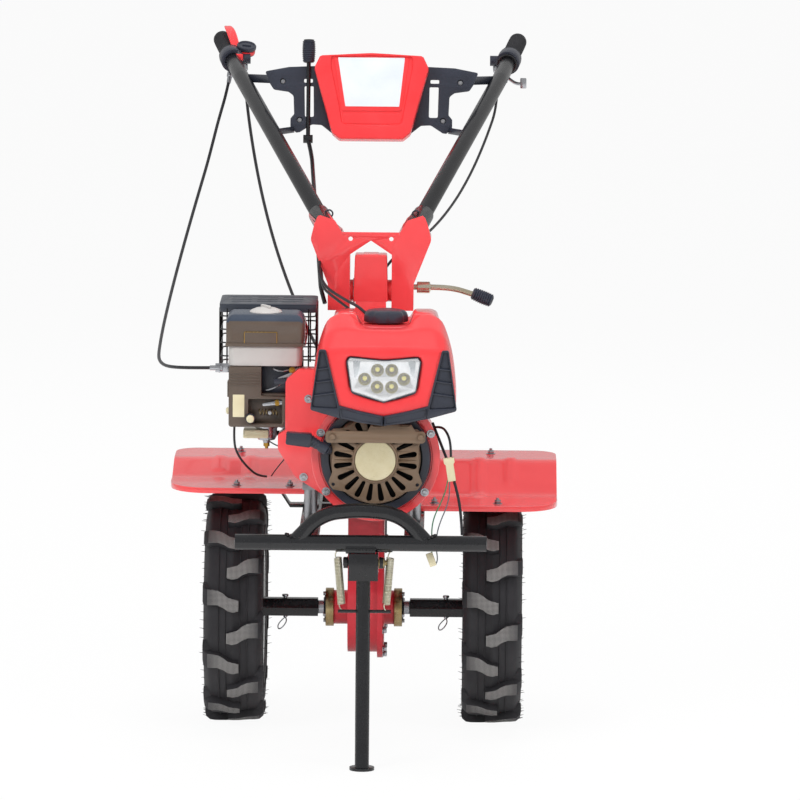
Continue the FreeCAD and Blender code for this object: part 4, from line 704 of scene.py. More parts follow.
def layCord(name, radius, crossing, route):
    cable = paint(smoothLine(name + "_laid", spots(*route), radius), cableJacket)
    line = centreLine(cable)
    if crossing:
        cable = meshed(cable)
        bpy.ops.object.shade_smooth()
        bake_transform(cable)
    else:
        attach(cable, "chassis")
    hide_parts(name)


for name, settings in cords.items():
    layCord(name, **settings)
print("cables and leads laid")


# tyres

tread = {"perSide": 11, "firstAngle": 9.3, "lugWide": 24, "lugDeep": 12.5, "lugStart": -11, "lugStop": 74,
         "stations": 9, "slope": 0.52, "flare": 0.35, "flat": 40, "shoulder": 15, "shoulderTurn": 80, "hairs": 150}
tyre = {"radius": 210, "half": 55, "groove": 13.5, "bead": 102, "beadHalf": 43}


def acrossLug(distance):  # from just past the middle, out to the shoulder and down the side wall
    level, turn, most = tread["flat"], tread["shoulder"], math.radians(tread["shoulderTurn"])
    if distance < level:
        return distance, tyre["radius"] - 0.3 - 0.7 * max(distance, 0) / level
    bend = min((distance - level) / turn, most)
    rest = max(0, distance - level - turn * most)
    return (level + turn * math.sin(bend) - rest * 0.06,
            tyre["radius"] - 1 - turn * (1 - math.cos(bend)) - rest * 0.98)


def treadLug(name):
    letGo()
    bpy.ops.mesh.primitive_grid_add(x_subdivisions=tread["stations"], y_subdivisions=3, size=1)
    lug = bpy.context.object
    lug.name = name
    layers = lug.data.uv_layers
    layer = layers["surface"] if "surface" in layers else layers.new(name="surface")
    start, stop = tread["lugStart"], tread["lugStop"]
    flatPlace = {}
    for vertex in lug.data.vertices:
        along = start + (stop - start) * (vertex.co.x + 0.5)
        across = vertex.co.y * tread["lugWide"] * (1 + tread["flare"] * max(0, along / stop))
        across += tread["slope"] * max(0, along - 10) + 6 * math.sin(max(0, along - 4) * 0.09)
        if along == start:
            across *= 0.8
        flatPlace[vertex.index] = (along * mm, across * mm)
        x, r = acrossLug(along)
        angle = across / tyre["radius"]
        vertex.co = local(x, -r * math.cos(angle), r * math.sin(angle))
    for loop in lug.data.loops:
        layer.data[loop.index].uv = flatPlace[loop.vertex_index]
    openMesh(lug, action="SELECT")
    bpy.ops.mesh.normals_make_consistent(inside=False)
    letGo()
    if lug.data.polygons[4].normal.y > 0:
        lug.data.flip_normals()
    paint(lug, rubberTopPaintedGlints, rubberSide)
    modify(lug, "SOLIDIFY", thickness=(tread["lugDeep"] + 4) * mm, offset=-1, material_offset_rim=1,
           material_offset=1)
    for face in lug.data.polygons:
        if face.material_index == 0 and abs(face.center.x) > 43 * mm:
            face.material_index = 1
    return softEdges(lug, 2.2, angle=50)


def makeTyre(node):
    half, bead, beadHalf = tyre["half"], tyre["bead"], tyre["beadHalf"]
    low = tyre["radius"] - tyre["groove"]
    wall = [(bead, beadHalf - 10), (bead, beadHalf), (bead + 10, beadHalf + 3, 6), (bead + 35, half - 3, 30),
            (low - 20, half - 2, 30), (low - 2, half - 12, 10), (low, 6), (low + 2, 3)]
    inside = [(bead + 12, 12 - beadHalf), (bead + 12, beadHalf - 12)]
    outline = rounded(wall + [(r, -x, *rest) for r, x, *rest in reversed(wall)] + inside, steps=4)
    carcass = turned("carcass", outline, (0, 0, 0), leftward, 96, closed=True)
    carcass.data.uv_layers.new(name="surface")
    parts = [paint(carcass, rubberSide, rubberTopPaintedGlints)]
    first = treadLug("lug")
    step = 2 * math.pi / tread["perSide"]
    for index in range(tread["perSide"]):
        for mirrored in (True, False):
            lug = copied(first, "lug")
            if mirrored:
                lug.data.transform(Matrix.Scale(-1, 4, leftward))
                lug.data.flip_normals()
            angle = math.radians(tread["firstAngle"]) + step * (index if mirrored else index - 0.5)
            lug.data.transform(Matrix.Rotation(-angle, 4, "X"))
            parts.append(lug)
    bpy.data.objects.remove(first)
    piece = settle(joined(node + "_treaded", parts), middle(node))
    hand(piece, "drive_axle", node, slot="tyre_rubber", smooth=40)


makeTyre("tyre_left")
makeTyre("tyre_right")
print("tyres treaded")


# headlamp: black tray, chromed reflector with six deep cups, two side facets, clear lens

lamp = {"front": -446.5, "cup": 11.2, "cups": [(27, 705), (52, 705), (4.5, 689), (73.5, 689.5), (26.5, 675), (52, 675)],
        "outline": [(38, 649.0), (94.4, 667.0, 6), (102, 720.5, 4), (97, 727.2, 4), (38, 721.7), (-21, 727.2, 4),
                    (-26, 720.5, 4), (-18.4, 667.0, 6)],
        "rim": [(38, 647.5), (95, 664, 8), (104, 719, 4), (98.5, 728, 4), (38, 722.5), (-22.5, 728, 4),
                (-28, 719, 4), (-19, 664, 8)],
        "facets": [(-9, 1), (87, -1)]}
lampGlass = startMaterial("clear polycarbonate", "#ffffff", 0.04, **{"Alpha": 0.12, "IOR": 1.58})[0]
lampGlass.surface_render_method = "BLENDED"
reflector = metal("vacuum-metallised reflector", "#f2f4f6", "#e3e6ea", roughness=0.16, relief=0.005)
reflectorDull = metal("metallised reflector, faceted", "#cfd6dc", "#e9edf0", roughness=0.3, grain=(2, 2, 2), relief=0.2)
# a dark olive grey for the deep chromed reflector cups: painted shade inside them
cupPaintedShade = metal("reflector cup with painted shade", "#8d8a74", "#6f6c58", roughness=0.22, relief=0.005)
# the diodes are unlit: the yellow is the phosphor's own colour, and the emission is a painted glow
paintedGlow = {"Emission Color": linear("#e6dc78"), "Emission Strength": 0.3}
phosphor = startMaterial("light-diode phosphor", "#e0d560", 0.35, **paintedGlow)[0]


def makeHeadlamp():
    front, outline, cup = lamp["front"], lamp["outline"], lamp["cup"]
    tray = [standing("tray", lamp["rim"], 34, 0.9, -414, [outline]), standing("floor", lamp["rim"], 2, 0.4, -413.5)]
    give("lamp_tray", tray, blackPlastic, "black_plastic", "headlamp")
    holes = [disc(cup, place, 28) for place in lamp["cups"]]
    face = standing("face", outline, 1.2, 0.3, front + 3.4, holes)
    cupProfile = [(cup + 0.4, 0), (cup * 0.93, -3.5), (cup * 0.72, -8.5), (cup * 0.42, -11.5), (0, -12), (0, -13),
                  (cup * 0.46, -12.5), (cup * 0.8, -9.5), (cup + 0.6, -3.5), (cup + 1, 0)]
    chipProfile = [(0, 0), (4.2, 0), (4.2, 1), (3, 2.4), (0, 3)]
    cups = [turned("cup", cupProfile, spot(x, front + 3.4, z), ahead, 28) for x, z in lamp["cups"]]
    chips = [turned("chip", chipProfile, spot(x, front + 14.9, z), ahead, 20) for x, z in lamp["cups"]]
    give("lamp_cups", cups, cupPaintedShade, "steel")
    give("lamp_reflector", face, reflector, "steel")
    give("lamp_diodes", chips, phosphor, "grey_plastic")
    facets = [standing("facet", [(x - 7 * turn, 722), (x + 6 * turn, 721), (x + 3 * turn, 700), (x - 5 * turn, 690)],
                       2, 0.4, front + 2.4) for x, turn in lamp["facets"]]
    give("lamp_facets", facets, reflectorDull, "steel")
    give("lamp_lens", standing("lens", outline, 2, 0.5, front + 0.6), lampGlass, "grey_plastic")


makeHeadlamp()
print("headlamp made")


# black trim: a faceted strip with a centre seam, and a louvred panel each side

trim = {"middle": 38, "back": -441.5, "slats": 3, "lowSlat": 661, "slatPitch": 22, "slatLean": 18, "slatTurn": 8,
        "frame": [(76, 619), (129, 634, 5), (114, 741, 4), (102, 741, 4), (78, 643)],
        "opening": [(80.6, 637, 2), (126, 639.5, 3), (112.2, 737.5, 2), (104.2, 737.5, 2)],
        "strip": [(0.4, 606.5), (40, 611.5), (76, 619.5), (80, 643), (44, 633.5), (0.4, 624)]}


def makeTrim():
    t = trim
    parts = []
    for side in (1, -1):
        surround, opening, strip = (sided(t[key], side, t["middle"]) for key in ("frame", "opening", "strip"))
        parts += [standing("surround", surround, 8, 1.2, t["back"], [opening]),
                  standing("backing", opening, 2, 0.3, t["back"] - 0.5)]
        for index in range(t["slats"]):
            z = t["lowSlat"] + index * t["slatPitch"]
            inner, outer = 81 + (z - 637) * 0.235, 125.6 - (z - 639) * 0.140
            slat = block("slat", local(0, -3.2, 0), local(outer - inner, 3.2, 2.4), edge=0.7)
            slat.data.transform(Matrix.Rotation(math.radians(t["slatLean"]), 4, "X"))
            if side < 0:
                slat.data.transform(Matrix.Scale(-1, 4, leftward))
                slat.data.flip_normals()
            slat.data.transform(Matrix.Rotation(math.radians(t["slatTurn"] * side), 4, "Y"))
            parts.append(settle(slat, spot(t["middle"] + inner * side, t["back"] - 4.5, z + 3)))
        parts.append(press(standing("strip", strip, 6, 0.9, t["back"] + 0.2), facing(ahead), (4.5, (0, -3, 0))))
    give("front_trim", parts, blackPlastic, "black_plastic", "mask_grille", smooth=30)


makeTrim()
print("front trim made")


# recoil starter: slotted dark cover, blank cream disc, mounting lugs, and the dark fan behind it

starter = {"x": 24, "z": 541, "face": -412, "slots": 20, "inner": 45, "outer": 69, "wide": 4.4, "rim": 77,
           "lug": 15.5, "lugs": (-31, -149, 31, 149), "lugSharp": 60, "boltCircle": 86.5, "blades": 18, "twist": 24,
           "dome": {"start": 52, "wide": 40, "drop": 11, "power": 1.7},
           "skirt": [(74.5, -3.5), (77.5, -2.5), (79.5, -10), (80, -30), (77, -30), (76.5, -12)],
           "hub": [(0, 3), (39.5, 3), (40.8, 4.8), (39.6, 6.6), (37.2, 6.6), (36.6, 4.8), (0, 4.8)],
           "badge": [(0, 4.6), (36.2, 4.6), (36.2, 5.8), (35.5, 6.6), (34, 6.8), (0, 7.2)],
           "drum": [(0, -10), (34, -10), (36, -13), (36, -28), (98, -31), (98, -33), (0, -33)],
           "fence": [(83, -20), (96, -20), (97.5, -26), (97.5, -34), (83, -34)]}
discPaint = metal("cream anodised aluminium disc", "#e6dcbc", "#dccfa8", roughness=0.34, relief=0.005)
fanDark = plastic("black nylon fan", "#0d0d0f", "#131316", roughness=0.6)


def pill(angle, inner, outer, half, steps=5):  # a slot along a radius, wider at its outer end
    turns = [math.pi * step / steps for step in range(steps + 1)]
    shape = [(outer + half * 1.15 * math.sin(turn), -half * 1.15 * math.cos(turn)) for turn in turns]
    shape += [(inner - half * 0.75 * math.sin(turn), half * 0.75 * math.cos(turn)) for turn in turns]
    c, s = math.cos(angle), math.sin(angle)
    return [(x * c - y * s, x * s + y * c) for x, y in shape]


def makeStarter():
    s, dome = starter, starter["dome"]
    place = spot(s["x"], s["face"], s["z"])
    ring = []
    for step in range(120):
        lugs = sum(max(0, math.cos(math.radians(3 * step - lug))) ** s["lugSharp"] for lug in s["lugs"])
        ring.append(around(s["rim"] + s["lug"] * min(1, lugs * 1.2), 3 * step))
    holes = [pill(2 * math.pi * (index + 0.5) / s["slots"], s["inner"], s["outer"], s["wide"])
             for index in range(s["slots"])]
    holes += [disc(3.2, around(s["boltCircle"], lug), 14) for lug in s["lugs"][:2]]
    sheet = plate("sheet", ring, 4, holes, edge=0.6)
    for vertex in sheet.data.vertices:  # domed towards its rim
        far = math.hypot(vertex.co.x, vertex.co.y) / mm
        vertex.co.z -= dome["drop"] * mm * max(0, (far - dome["start"]) / dome["wide"]) ** dome["power"]
    parts = [sheet, spun("skirt", s["skirt"], 72, closed=True), spun("hub", s["hub"], 60)]
    cover = settle(joined("starter_cover", parts), place, along=ahead)
    give("starter_cover", cover, taupeCover, "taupe_plastic", "recoil_cover", smooth=35)
    give("blank_disc", turned("badge", s["badge"], place, ahead, 60), discPaint, "taupe_plastic")
    blades = []
    for index in range(s["blades"]):
        blade = block("blade", local(30, -1.2, -26), local(78, 1.2, -12), edge=0.4, segments=1)
        blade.data.transform(Matrix.Rotation(math.radians(360 / s["blades"] * index), 4, "Z")
                             @ Matrix.Rotation(math.radians(s["twist"]), 4, "X"))
        blades.append(blade)
    fan = settle(joined("cooling_fan", blades + [spun("drum", s["drum"], 48)]), place, along=ahead)
    give("cooling_fan", fan, fanDark, "black_plastic")
    fence = turned("fence", s["fence"], place, ahead, 72, closed=True)
    give("fan_guard_ring", fence, blackPlastic, "black_plastic")


makeStarter()

starterBar = {"depth": -421, "height": 584, "bolts": {-52: 10, 104: 20}, "loops": (28, 76),  # bolts: place and turn
              "outline": [(-64, 573, 6), (112, 573, 6), (112, 594, 6), (94, 594, 2), (87, 606, 4), (16, 606, 4),
                          (10, 594, 2), (-64, 594, 6)]}


def makeStarterBar():
    depth, height, bolts = starterBar["depth"], starterBar["height"], starterBar["bolts"]
    holes = [disc(2.8, (x, height), 16) for x in bolts]
    parts = [standing("sheet", starterBar["outline"], 4, 0.8, depth, holes)]
    parts += [tube("loop", spots((x - 9, -426, 604), (x - 7, -430, 602), (x + 4, -431, 602), (x + 9, -430, 604),
                                 (x + 9, -426, 606)), 1.4, 2) for x in starterBar["loops"]]
    parts += [bar("boss", spot(x, depth - 0.5, height), spot(x, -390, height), 5.6, edge=0.5, sides=20)
              for x in bolts]
    give("starter_bar", parts, taupeCover, "taupe_plastic", "shroud_bracket")
    places = [(spot(x, depth - 4, height), ahead, turn) for x, turn in bolts.items()]
    fastened("starter_bar_bolts", taupeCover, hexHead(10, 4, 6.6), places, "taupe_plastic")


makeStarterBar()
print("recoil starter made")


# air cleaner: two-part lid with a blank recess, wing nut, side clip

cleaner = {"left": -243, "right": -106, "front": -335, "back": -232, "joint": 731, "high": 787, "crown": 9,
           "labels": [("blank_label_edge", brass, rectangle(-211, 736.2, -152.5, 757.5, 1.5), -0.1),
                      ("blank_label", brownCover, rectangle(-210, 737.2, -153.5, 756.5, 1), -0.4)],
           "nut": [(0, 0), (29, 0), (29, 2), (26, 5), (17, 8.5), (6, 10), (0, 10)], "nutPlace": (-174, -284)}
# a blue-grey for the lid's upward faces: a painted reflection of the sky
lidTopSkyReflection = plastic("lid top with painted sky reflection", "#323a48", "#3c4655", roughness=0.3, relief=0.01)


def makeCleaner():
    left, right, front, rear = (cleaner[key] for key in ("left", "right", "front", "back"))
    joint, high = cleaner["joint"], cleaner["high"]
    lid = block("lid", spot(left, front, joint + 0.5), spot(right, rear, high - cleaner["crown"]))
    openMesh(lid)
    pick(lid, facing(upward))
    bpy.ops.mesh.extrude_region_move(TRANSFORM_OT_translate={"value": local(0, 0, cleaner["crown"])})
    bpy.ops.transform.resize(value=(0.87, 0.80, 1),
                             center_override=spot((left + right) / 2, (front + rear) / 2, high))
    softEdges(lid, 4.5, angle=25, segments=3)
    paint(lid, brownCover, lidTopSkyReflection)
    # faces that look upwards take the painted sky reflection
    for face in lid.data.polygons:
        if face.normal.z > 0.2:
            face.material_index = 1
    press(lid, lambda face: face.normal.y < -0.95 and face.calc_area() > 0.002, (6, None), (1, (0, 0.7, 0)))
    rim = paint(standing("rim", rectangle(left - 1, joint, right + 1, joint + 6, 2), 3.5, 0.7, front + 0.5), brownCover)
    hand(joined("cleaner_lid", [lid, rim]), "chassis", "air_cleaner_cover", slot="black_plastic")
    for name, material, outline, out in cleaner["labels"]:
        give(name, standing("label", outline, 0.8, 0.2, front + out), material, "black_plastic")
    nut = [spun("nut", cleaner["nut"], 40), block("wing", local(-3.2, -16, 6), local(3.2, 16, 13.5), edge=2)]
    knob = settle(joined("cleaner_nut", nut), spot(*cleaner["nutPlace"], high - 1), turn=0.5)
    for vertex in knob.data.vertices:
        vertex.co.z = min(vertex.co.z, 800 * mm)
    give("cleaner_nut", knob, greyPlastic, "grey_plastic")
    clip = [tube("clip", spots((right + 1.5, -300, 776), (right + 5, -300, 768), (right + 5.5, -300, 750),
                               (right + 4, -300, 738), (right + 1.5, -300, 729)), 1.5, 2),
            block("strap", spot(right + 1.5, -309, 735), spot(right + 3.2, -291, 778), edge=0.7)]
    give("cleaner_clip", clip, chrome, "steel")


makeCleaner()


# engine control box: dark cover with ribs, an open pocket with the choke and throttle linkage

controls = {"front": -335, "ribs": 5, "lowRib": 661, "ribPitch": 5.4,
            "outer": [(-238, 587, 5), (-141, 587, 5), (-136, 600, 3), (-136, 641, 3), (-180, 643, 2), (-180, 695, 2),
                      (-238, 695, 3)],
            "choke": [(-178, 629, 2), (-150, 634, 3), (-128, 633, 2), (-128, 629, 2), (-150, 627, 2), (-178, 624, 2)],
            "link": [(-150, 668, 2), (-118, 678, 2), (-116, 683, 2), (-128, 684, 2), (-152, 674, 2)],
            "boss": [(0, 0), (8.5, 0), (9.5, 2), (8.5, 8), (6, 10), (0, 10)],
            "screw": [(0, 8), (6.8, 8), (7.2, 10), (6.2, 12.5), (3, 13.5), (0, 13.5)],
            "sideScrew": [(0, 0), (6, 0), (6, 3), (4, 5), (0, 5)],
            "spring": {"start": -185, "z": 613, "radius": 5.5, "wire": 0.8, "pitch": 0.36, "turns": 6, "perTurn": 16}}


def makeControls():
    c, front = controls, controls["front"]

    def at(x, out, z):  # a place measured back from the box's front
        return spot(x, front + out, z)

    parts = [standing("shell", c["outer"], 36, 1.4, front + 36, [rectangle(-203, 593, -143, 637, 2)]),
             standing("floor", rectangle(-204, 592, -142, 638), 3, 0.4, front + 24)]
    for index in range(c["ribs"]):
        z = c["lowRib"] + index * c["ribPitch"]
        parts.append(block("rib", at(-237, -1.6, z), at(-182, 1, z + 2.6), edge=0.8))
    parts += [block("wall", at(-180, 8, 641), at(-138, 34, 646), edge=1),
              block("step", at(-240.5, 4, 640), at(-237, 30, 668), edge=1)]
    give("control_box", parts, brownCover, "taupe_plastic", "control_cover", smooth=30)
    blank = standing("blank", rectangle(-230.5, 605, -210, 645, 1), 0.6, 0.1, front - 0.4)
    give("blank_plate", blank, whitePlastic, "grey_plastic")
    give("recess_backing", block("recess", at(-180, 26, 645), at(-122, 35, 695), edge=1), blackPlastic, "black_plastic")
    levers = [
        standing("choke", c["choke"], 1.6, 0.3, front + 6),
        standing("link", c["link"], 1.6, 0.3, front + 12),
        bar("pivot", at(-165, 20, 612), at(-165, 4, 612), 4),
        tube("rod", [at(-172, 10, 652), at(-158, 8, 655), at(-140, 10, 668), at(-122, 12, 676)], 1.3, 2),
        tube("rod", [at(-160, 16, 690), at(-146, 12, 684), at(-134, 14, 688), at(-120, 16, 690)], 1.5, 2)]
    give("control_levers", levers, brightSteel, "zinc")
    s = c["spring"]
    coil = []
    for step in range(s["turns"] * s["perTurn"] + 1):
        out, up = around(s["radius"], 360 * step / s["perTurn"])
        coil.append(at(s["start"] + step * s["pitch"], 10 + out, s["z"] + up))
    give("governor_spring", tube("coil", coil, s["wire"], 1), yellowZinc, "zinc")
    fastened("control_screws", brass, hexHead(8, 4, 5.8, nose=2),
             [(at(-126, 12, 688), ahead), (at(-152, 8, 630), ahead, 15)], None)
    boss = turned("boss", c["boss"], at(-199, -0.5, 603), ahead, 20)
    screws = [turned("screw", c["screw"], at(-199, -0.5, 603), ahead, 24),
              turned("side", c["sideScrew"], at(-238, 16, 614), rightward, 20)]
    give("screw_boss", boss, blackPlastic, "black_plastic")
    give("idle_screws", screws, whitePlastic, "grey_plastic")
    give("choke_knob", block("grip", at(-158, -3, 664), at(-130, 4, 674), edge=2), blackPlastic, "black_plastic")


makeControls()


def makeCableStop():  # where the throttle cable's sleeve ends, beside the control box
    parts = [block("arm", spot(-262, -323, 683), spot(-236, -321, 699), edge=0.6),
             block("post", spot(-256, -330, 683), spot(-254, -314, 699), edge=0.6),
             bar("ferrule", spot(-272, -321.5, 690.8), spot(-250, -322, 691), 4.4, edge=0.6, sides=18),
             bar("nut", spot(-254, -322, 691), spot(-249, -322, 691), 6.6, edge=0.6, sides=6),
             bar("wire", spot(-250, -322, 691), spot(-228, -322, 691), 1, edge=0.2, sides=8)]
    give("throttle_stop", parts, brightSteel, "zinc")


makeCableStop()

carburettor = {"bowl": [(0, -2), (6, -2), (6.5, 2), (15, 4), (18.5, 10), (19, 24), (20.5, 26), (20.5, 29), (19, 31),
                        (0, 31)],
               "hose": [(-168, -270, 569), (-150, -268, 566), (-128, -262, 572), (-112, -258, 590), (-100, -256, 620),
                        (-84, -255, 650), (-70, -252, 670)], "hoseRadius": 4.5}


def makeCarburettor():  # the bowl with its drain nut, the fuel valve, and a hose to the tank
    x, y = -172, -277
    give("float_bowl", turned("bowl", carburettor["bowl"], spot(x, y, 553.5), sides=40), brightSteel, "cast_alloy")
    drain = [bar("nut", spot(x, y, 545), spot(x, y, 552), 5.5, sides=6),
             bar("stem", spot(x, y, 541), spot(x, y, 546), 3)]
    give("drain_nut", drain, brass, "zinc")
    valve = press(block("valve", spot(-213, -300, 562), spot(-168, -262, 577), edge=2), facing(ahead), (4, (0, 1.5, 0)))
    give("fuel_valve", valve, whitePlastic, "grey_plastic")
    hose = tube("hose", spots(*carburettor["hose"]), carburettor["hoseRadius"], 3)
    give("fuel_hose", hose, cableJacket, "cable_jacket")


makeCarburettor()
print("air cleaner, controls and carburettor made")

# cowl front: one shell lofted from the tank's section, over two creases, to the lamp window

cowl = {"middle": 38, "wall": 2.8,
        "lower": [(0, 622.5), (48, 625), (96, 630), (124, 637)],
        "backs": [(128.5, 640), (127, 670), (124, 702), (119, 733), (110, 762), (103, 780), (91, 790), (72, 792),
                  (57, 791), (47, 778), (38, 769), (20, 768), (0, 768)],
        "ridge": [(128.5, 640), (127, 668), (124, 698), (119, 724), (113, 748), (105, 763), (92, 772), (74, 774),
                  (59, 773.5), (48, 772), (38, 771), (20, 771), (0, 771)],
        "crease": [(128, 640), (126, 665), (122.5, 690), (118, 713), (113, 730), (106, 741), (96, 746), (76, 747),
                   (60, 747.5), (48, 748), (38, 748), (20, 748), (0, 748)],
        "front": [(125, 641), (122.5, 665), (119, 690), (114.5, 712), (109.5, 726), (103, 735), (93, 739.5),
                  (75, 741), (60, 741.5), (48, 742), (38, 742), (20, 742), (0, 742)],
        "window": [(0, 646.8), (20, 652), (40, 658), (52, 661.7), (57.2, 664), (59.6, 671), (61.2, 684), (62.8, 696),
                   (64.4, 706), (66.2, 716), (66.6, 721), (65.4, 726), (61, 729), (48, 728), (34, 726), (22, 724.8),
                   (12, 723.8), (0, 722.9)],
        "sections": [("backs", -345.6, -433), ("backs", -349, -434), ("ridge", -404, -436), ("ridge", -407, -437),
                     ("crease", -435, -438.5), ("crease", -437.5, -440), ("front", -442, -442)],  # depth, lip depth
        "inward": [(0.1, -443.0), (0.45, -443.8), (0.93, -443.6), (1.0, -442.6), (1.0, -438)]}  # share, depth


def loopOf(half):  # mirrors a right half, given from the bottom middle to the top middle, into a closed loop
    return [Vector(p) for p in half] + [Vector((-p[0], p[1])) for p in reversed(half[1:-1])]


def lengthsUp(half):  # how far each point of a half lies from the bottom middle, along it
    total = [0]
    for a, b in zip(half, half[1:]):
        total.append(total[-1] + (b - a).length)
    return total


def spreadLike(pattern, half):  # points along a half at the same shares of its length as a pattern's points
    wanted, known = lengthsUp(pattern), lengthsUp(half)
    result = []
    for share in wanted:
        want = share / wanted[-1] * known[-1]
        k = max(index for index, value in enumerate(known) if value <= want + 1e-6)
        part = (want - known[k]) / (known[k + 1] - known[k]) if k + 1 < len(known) else 0
        result.append(half[k].lerp(half[min(k + 1, len(half) - 1)], part))
    return result


def makeCowl():
    rows = []
    for name, depth, lip in cowl["sections"]:
        loop = loopOf(cowl["lower"] + cowl[name])
        count = len(loop)
        rows.append([(p.x, lip if i < 4 or i > count - 4 else depth, p.y) for i, p in enumerate(loop)])
    outer = rows[-1]
    rightHalf = [Vector(p) for p in cowl["lower"] + cowl["front"]]
    window = loopOf(spreadLike(rightHalf, [Vector(p) for p in cowl["window"]]))
    for share, depth in cowl["inward"]:
        rows.append([((1 - share) * o[0] + share * w.x, depth, (1 - share) * o[2] + share * w.y)
                     for o, w in zip(outer, window)])
    letGo()
    bpy.ops.mesh.primitive_grid_add(x_subdivisions=count, y_subdivisions=len(rows) - 1, size=1)
    shell = bpy.context.object
    for vertex in shell.data.vertices:
        column = round((vertex.co.x + 0.5) * count) % count
        row = round((vertex.co.y + 0.5) * (len(rows) - 1))
        x, y, z = rows[row][column]
        vertex.co = spot(cowl["middle"] + x, y, z)
    tidy(shell)
    modify(shell, "SUBSURF", levels=1, render_levels=1)
    modify(shell, "SOLIDIFY", thickness=cowl["wall"] * mm, offset=-1)
    give("cowl_front", shell, redAbs, "red_plastic", "front_mask", smooth=50)


makeCowl()
print("cowl made")


# mudguards: pressed sheet with two ribs, rounded corners and a turned-down edge

mudguard = {"inner": 100, "outer": 350, "front": -185, "rear": 170, "high": 478, "low": 455, "dip": 29, "sheet": 2.5,
            "lip": 9.5, "ribs": ((198, 218, -75, 150), (256, 276, -18, 150)), "ribHigh": 3.2, "rampStart": -45,
            "rampLong": 90, "rampSoft": 0.13, "frontCorner": (74, 84), "rearCorner": (42, 46), "plainFrom": 120,
            "columns": 46, "lines": 60}  # a corner is how wide and how long its rounding is
guardBolts = {"fender_left": ((242, -150), (128, -150), (128, 120), (230, 120)),
              "fender_right": ((229, -150), (133, -150), (128, 120), (230, 120))}


def guardHeight(y, dip):  # a ramp with eased ends, from the low front to the high back
    low, soft = mudguard["low"] - dip, mudguard["rampSoft"]
    t = (y - mudguard["rampStart"]) / mudguard["rampLong"]
    if t < -soft:
        share = 0
    elif t < soft:
        share = (t + soft) ** 2 / (4 * soft)
    elif t < 1 - soft:
        share = t
    elif t < 1 + soft:
        share = 1 - (1 + soft - t) ** 2 / (4 * soft)
    else:
        share = 1
    return low + (mudguard["high"] - low) * share


def makeMudguard(name, side, dip):
    m = mudguard
    (frontWide, frontLong), (rearWide, rearLong) = m["frontCorner"], m["rearCorner"]
    letGo()
    bpy.ops.mesh.primitive_grid_add(x_subdivisions=m["columns"], y_subdivisions=m["lines"], size=1)
    piece = bpy.context.object
    for vertex in piece.data.vertices:
        u, v = vertex.co.x + 0.5, vertex.co.y + 0.5
        x = m["inner"] + (m["outer"] - m["inner"]) * (1 - (1 - u) ** 1.25)
        near = max(0, (x - m["outer"]) / frontWide + 1)
        frontEdge = m["front"] + frontLong * (1 - math.sqrt(max(0, 1 - near ** 2.2)))
        far = max(0, (x - m["outer"]) / rearWide + 1)
        rearEdge = m["rear"] - rearLong * (1 - math.sqrt(max(0, 1 - far ** 2)))
        y = frontEdge + (rearEdge - frontEdge) * v
        z = guardHeight(y, dip)
        for low, high, start, stop in m["ribs"]:
            z += (m["ribHigh"] * ease(x, low - 3, low + 3) * (1 - ease(x, high - 3, high + 3))
                  * ease(y, start - 6, start + 6) * (1 - ease(y, stop - 8, stop + 8)))
        vertex.co = spot(x * side, y, z)
    openMesh(piece, "EDGE")
    mesh = bmesh.from_edit_mesh(piece.data)
    for edge in mesh.edges:
        middleX = sum(vertex.co.x for vertex in edge.verts) / 2 * side
        middleY = sum(vertex.co.y for vertex in edge.verts) / 2 - axle.y
        edge.select_set(edge.is_boundary and middleX > (m["inner"] + 1) * mm and middleY < m["plainFrom"] * mm)
    bmesh.update_edit_mesh(piece.data)
    bpy.ops.mesh.extrude_region_move(TRANSFORM_OT_translate={"value": local(0, 0, -m["lip"])})
    bpy.ops.mesh.select_all(action="SELECT")
    bpy.ops.mesh.normals_make_consistent(inside=False)
    letGo()
    if piece.data.polygons[len(piece.data.polygons) // 3].normal.z < 0:
        piece.data.flip_normals()
    modify(piece, "SOLIDIFY", thickness=m["sheet"] * mm, offset=-1)
    softEdges(piece, 1.1, angle=50)
    give(name + "_pressed", piece, redEnamel, "red_paint", name, smooth=40)
    heads = [(spot(x * side, y, guardHeight(y, dip)), upward, 20 * x) for x, y in guardBolts[name]]
    fastened(name + "_bolts", brightSteel, hexHead(10, 5.5, 8.5, nose=4), heads, "zinc")


makeMudguard("fender_left", 1, mudguard["dip"])
makeMudguard("fender_right", -1, 0)
print("mudguards made")


# silencer guard: slotted lid over a cage of wire

cage = {"left": -260, "right": -86, "front": -196, "back": -52, "low": 672, "high": 790, "corner": 12, "wire": 1.4,
        "rings": 5, "bars": (9, 7), "slotPitch": (46, 34), "slot": (36, 5), "margin": 14}


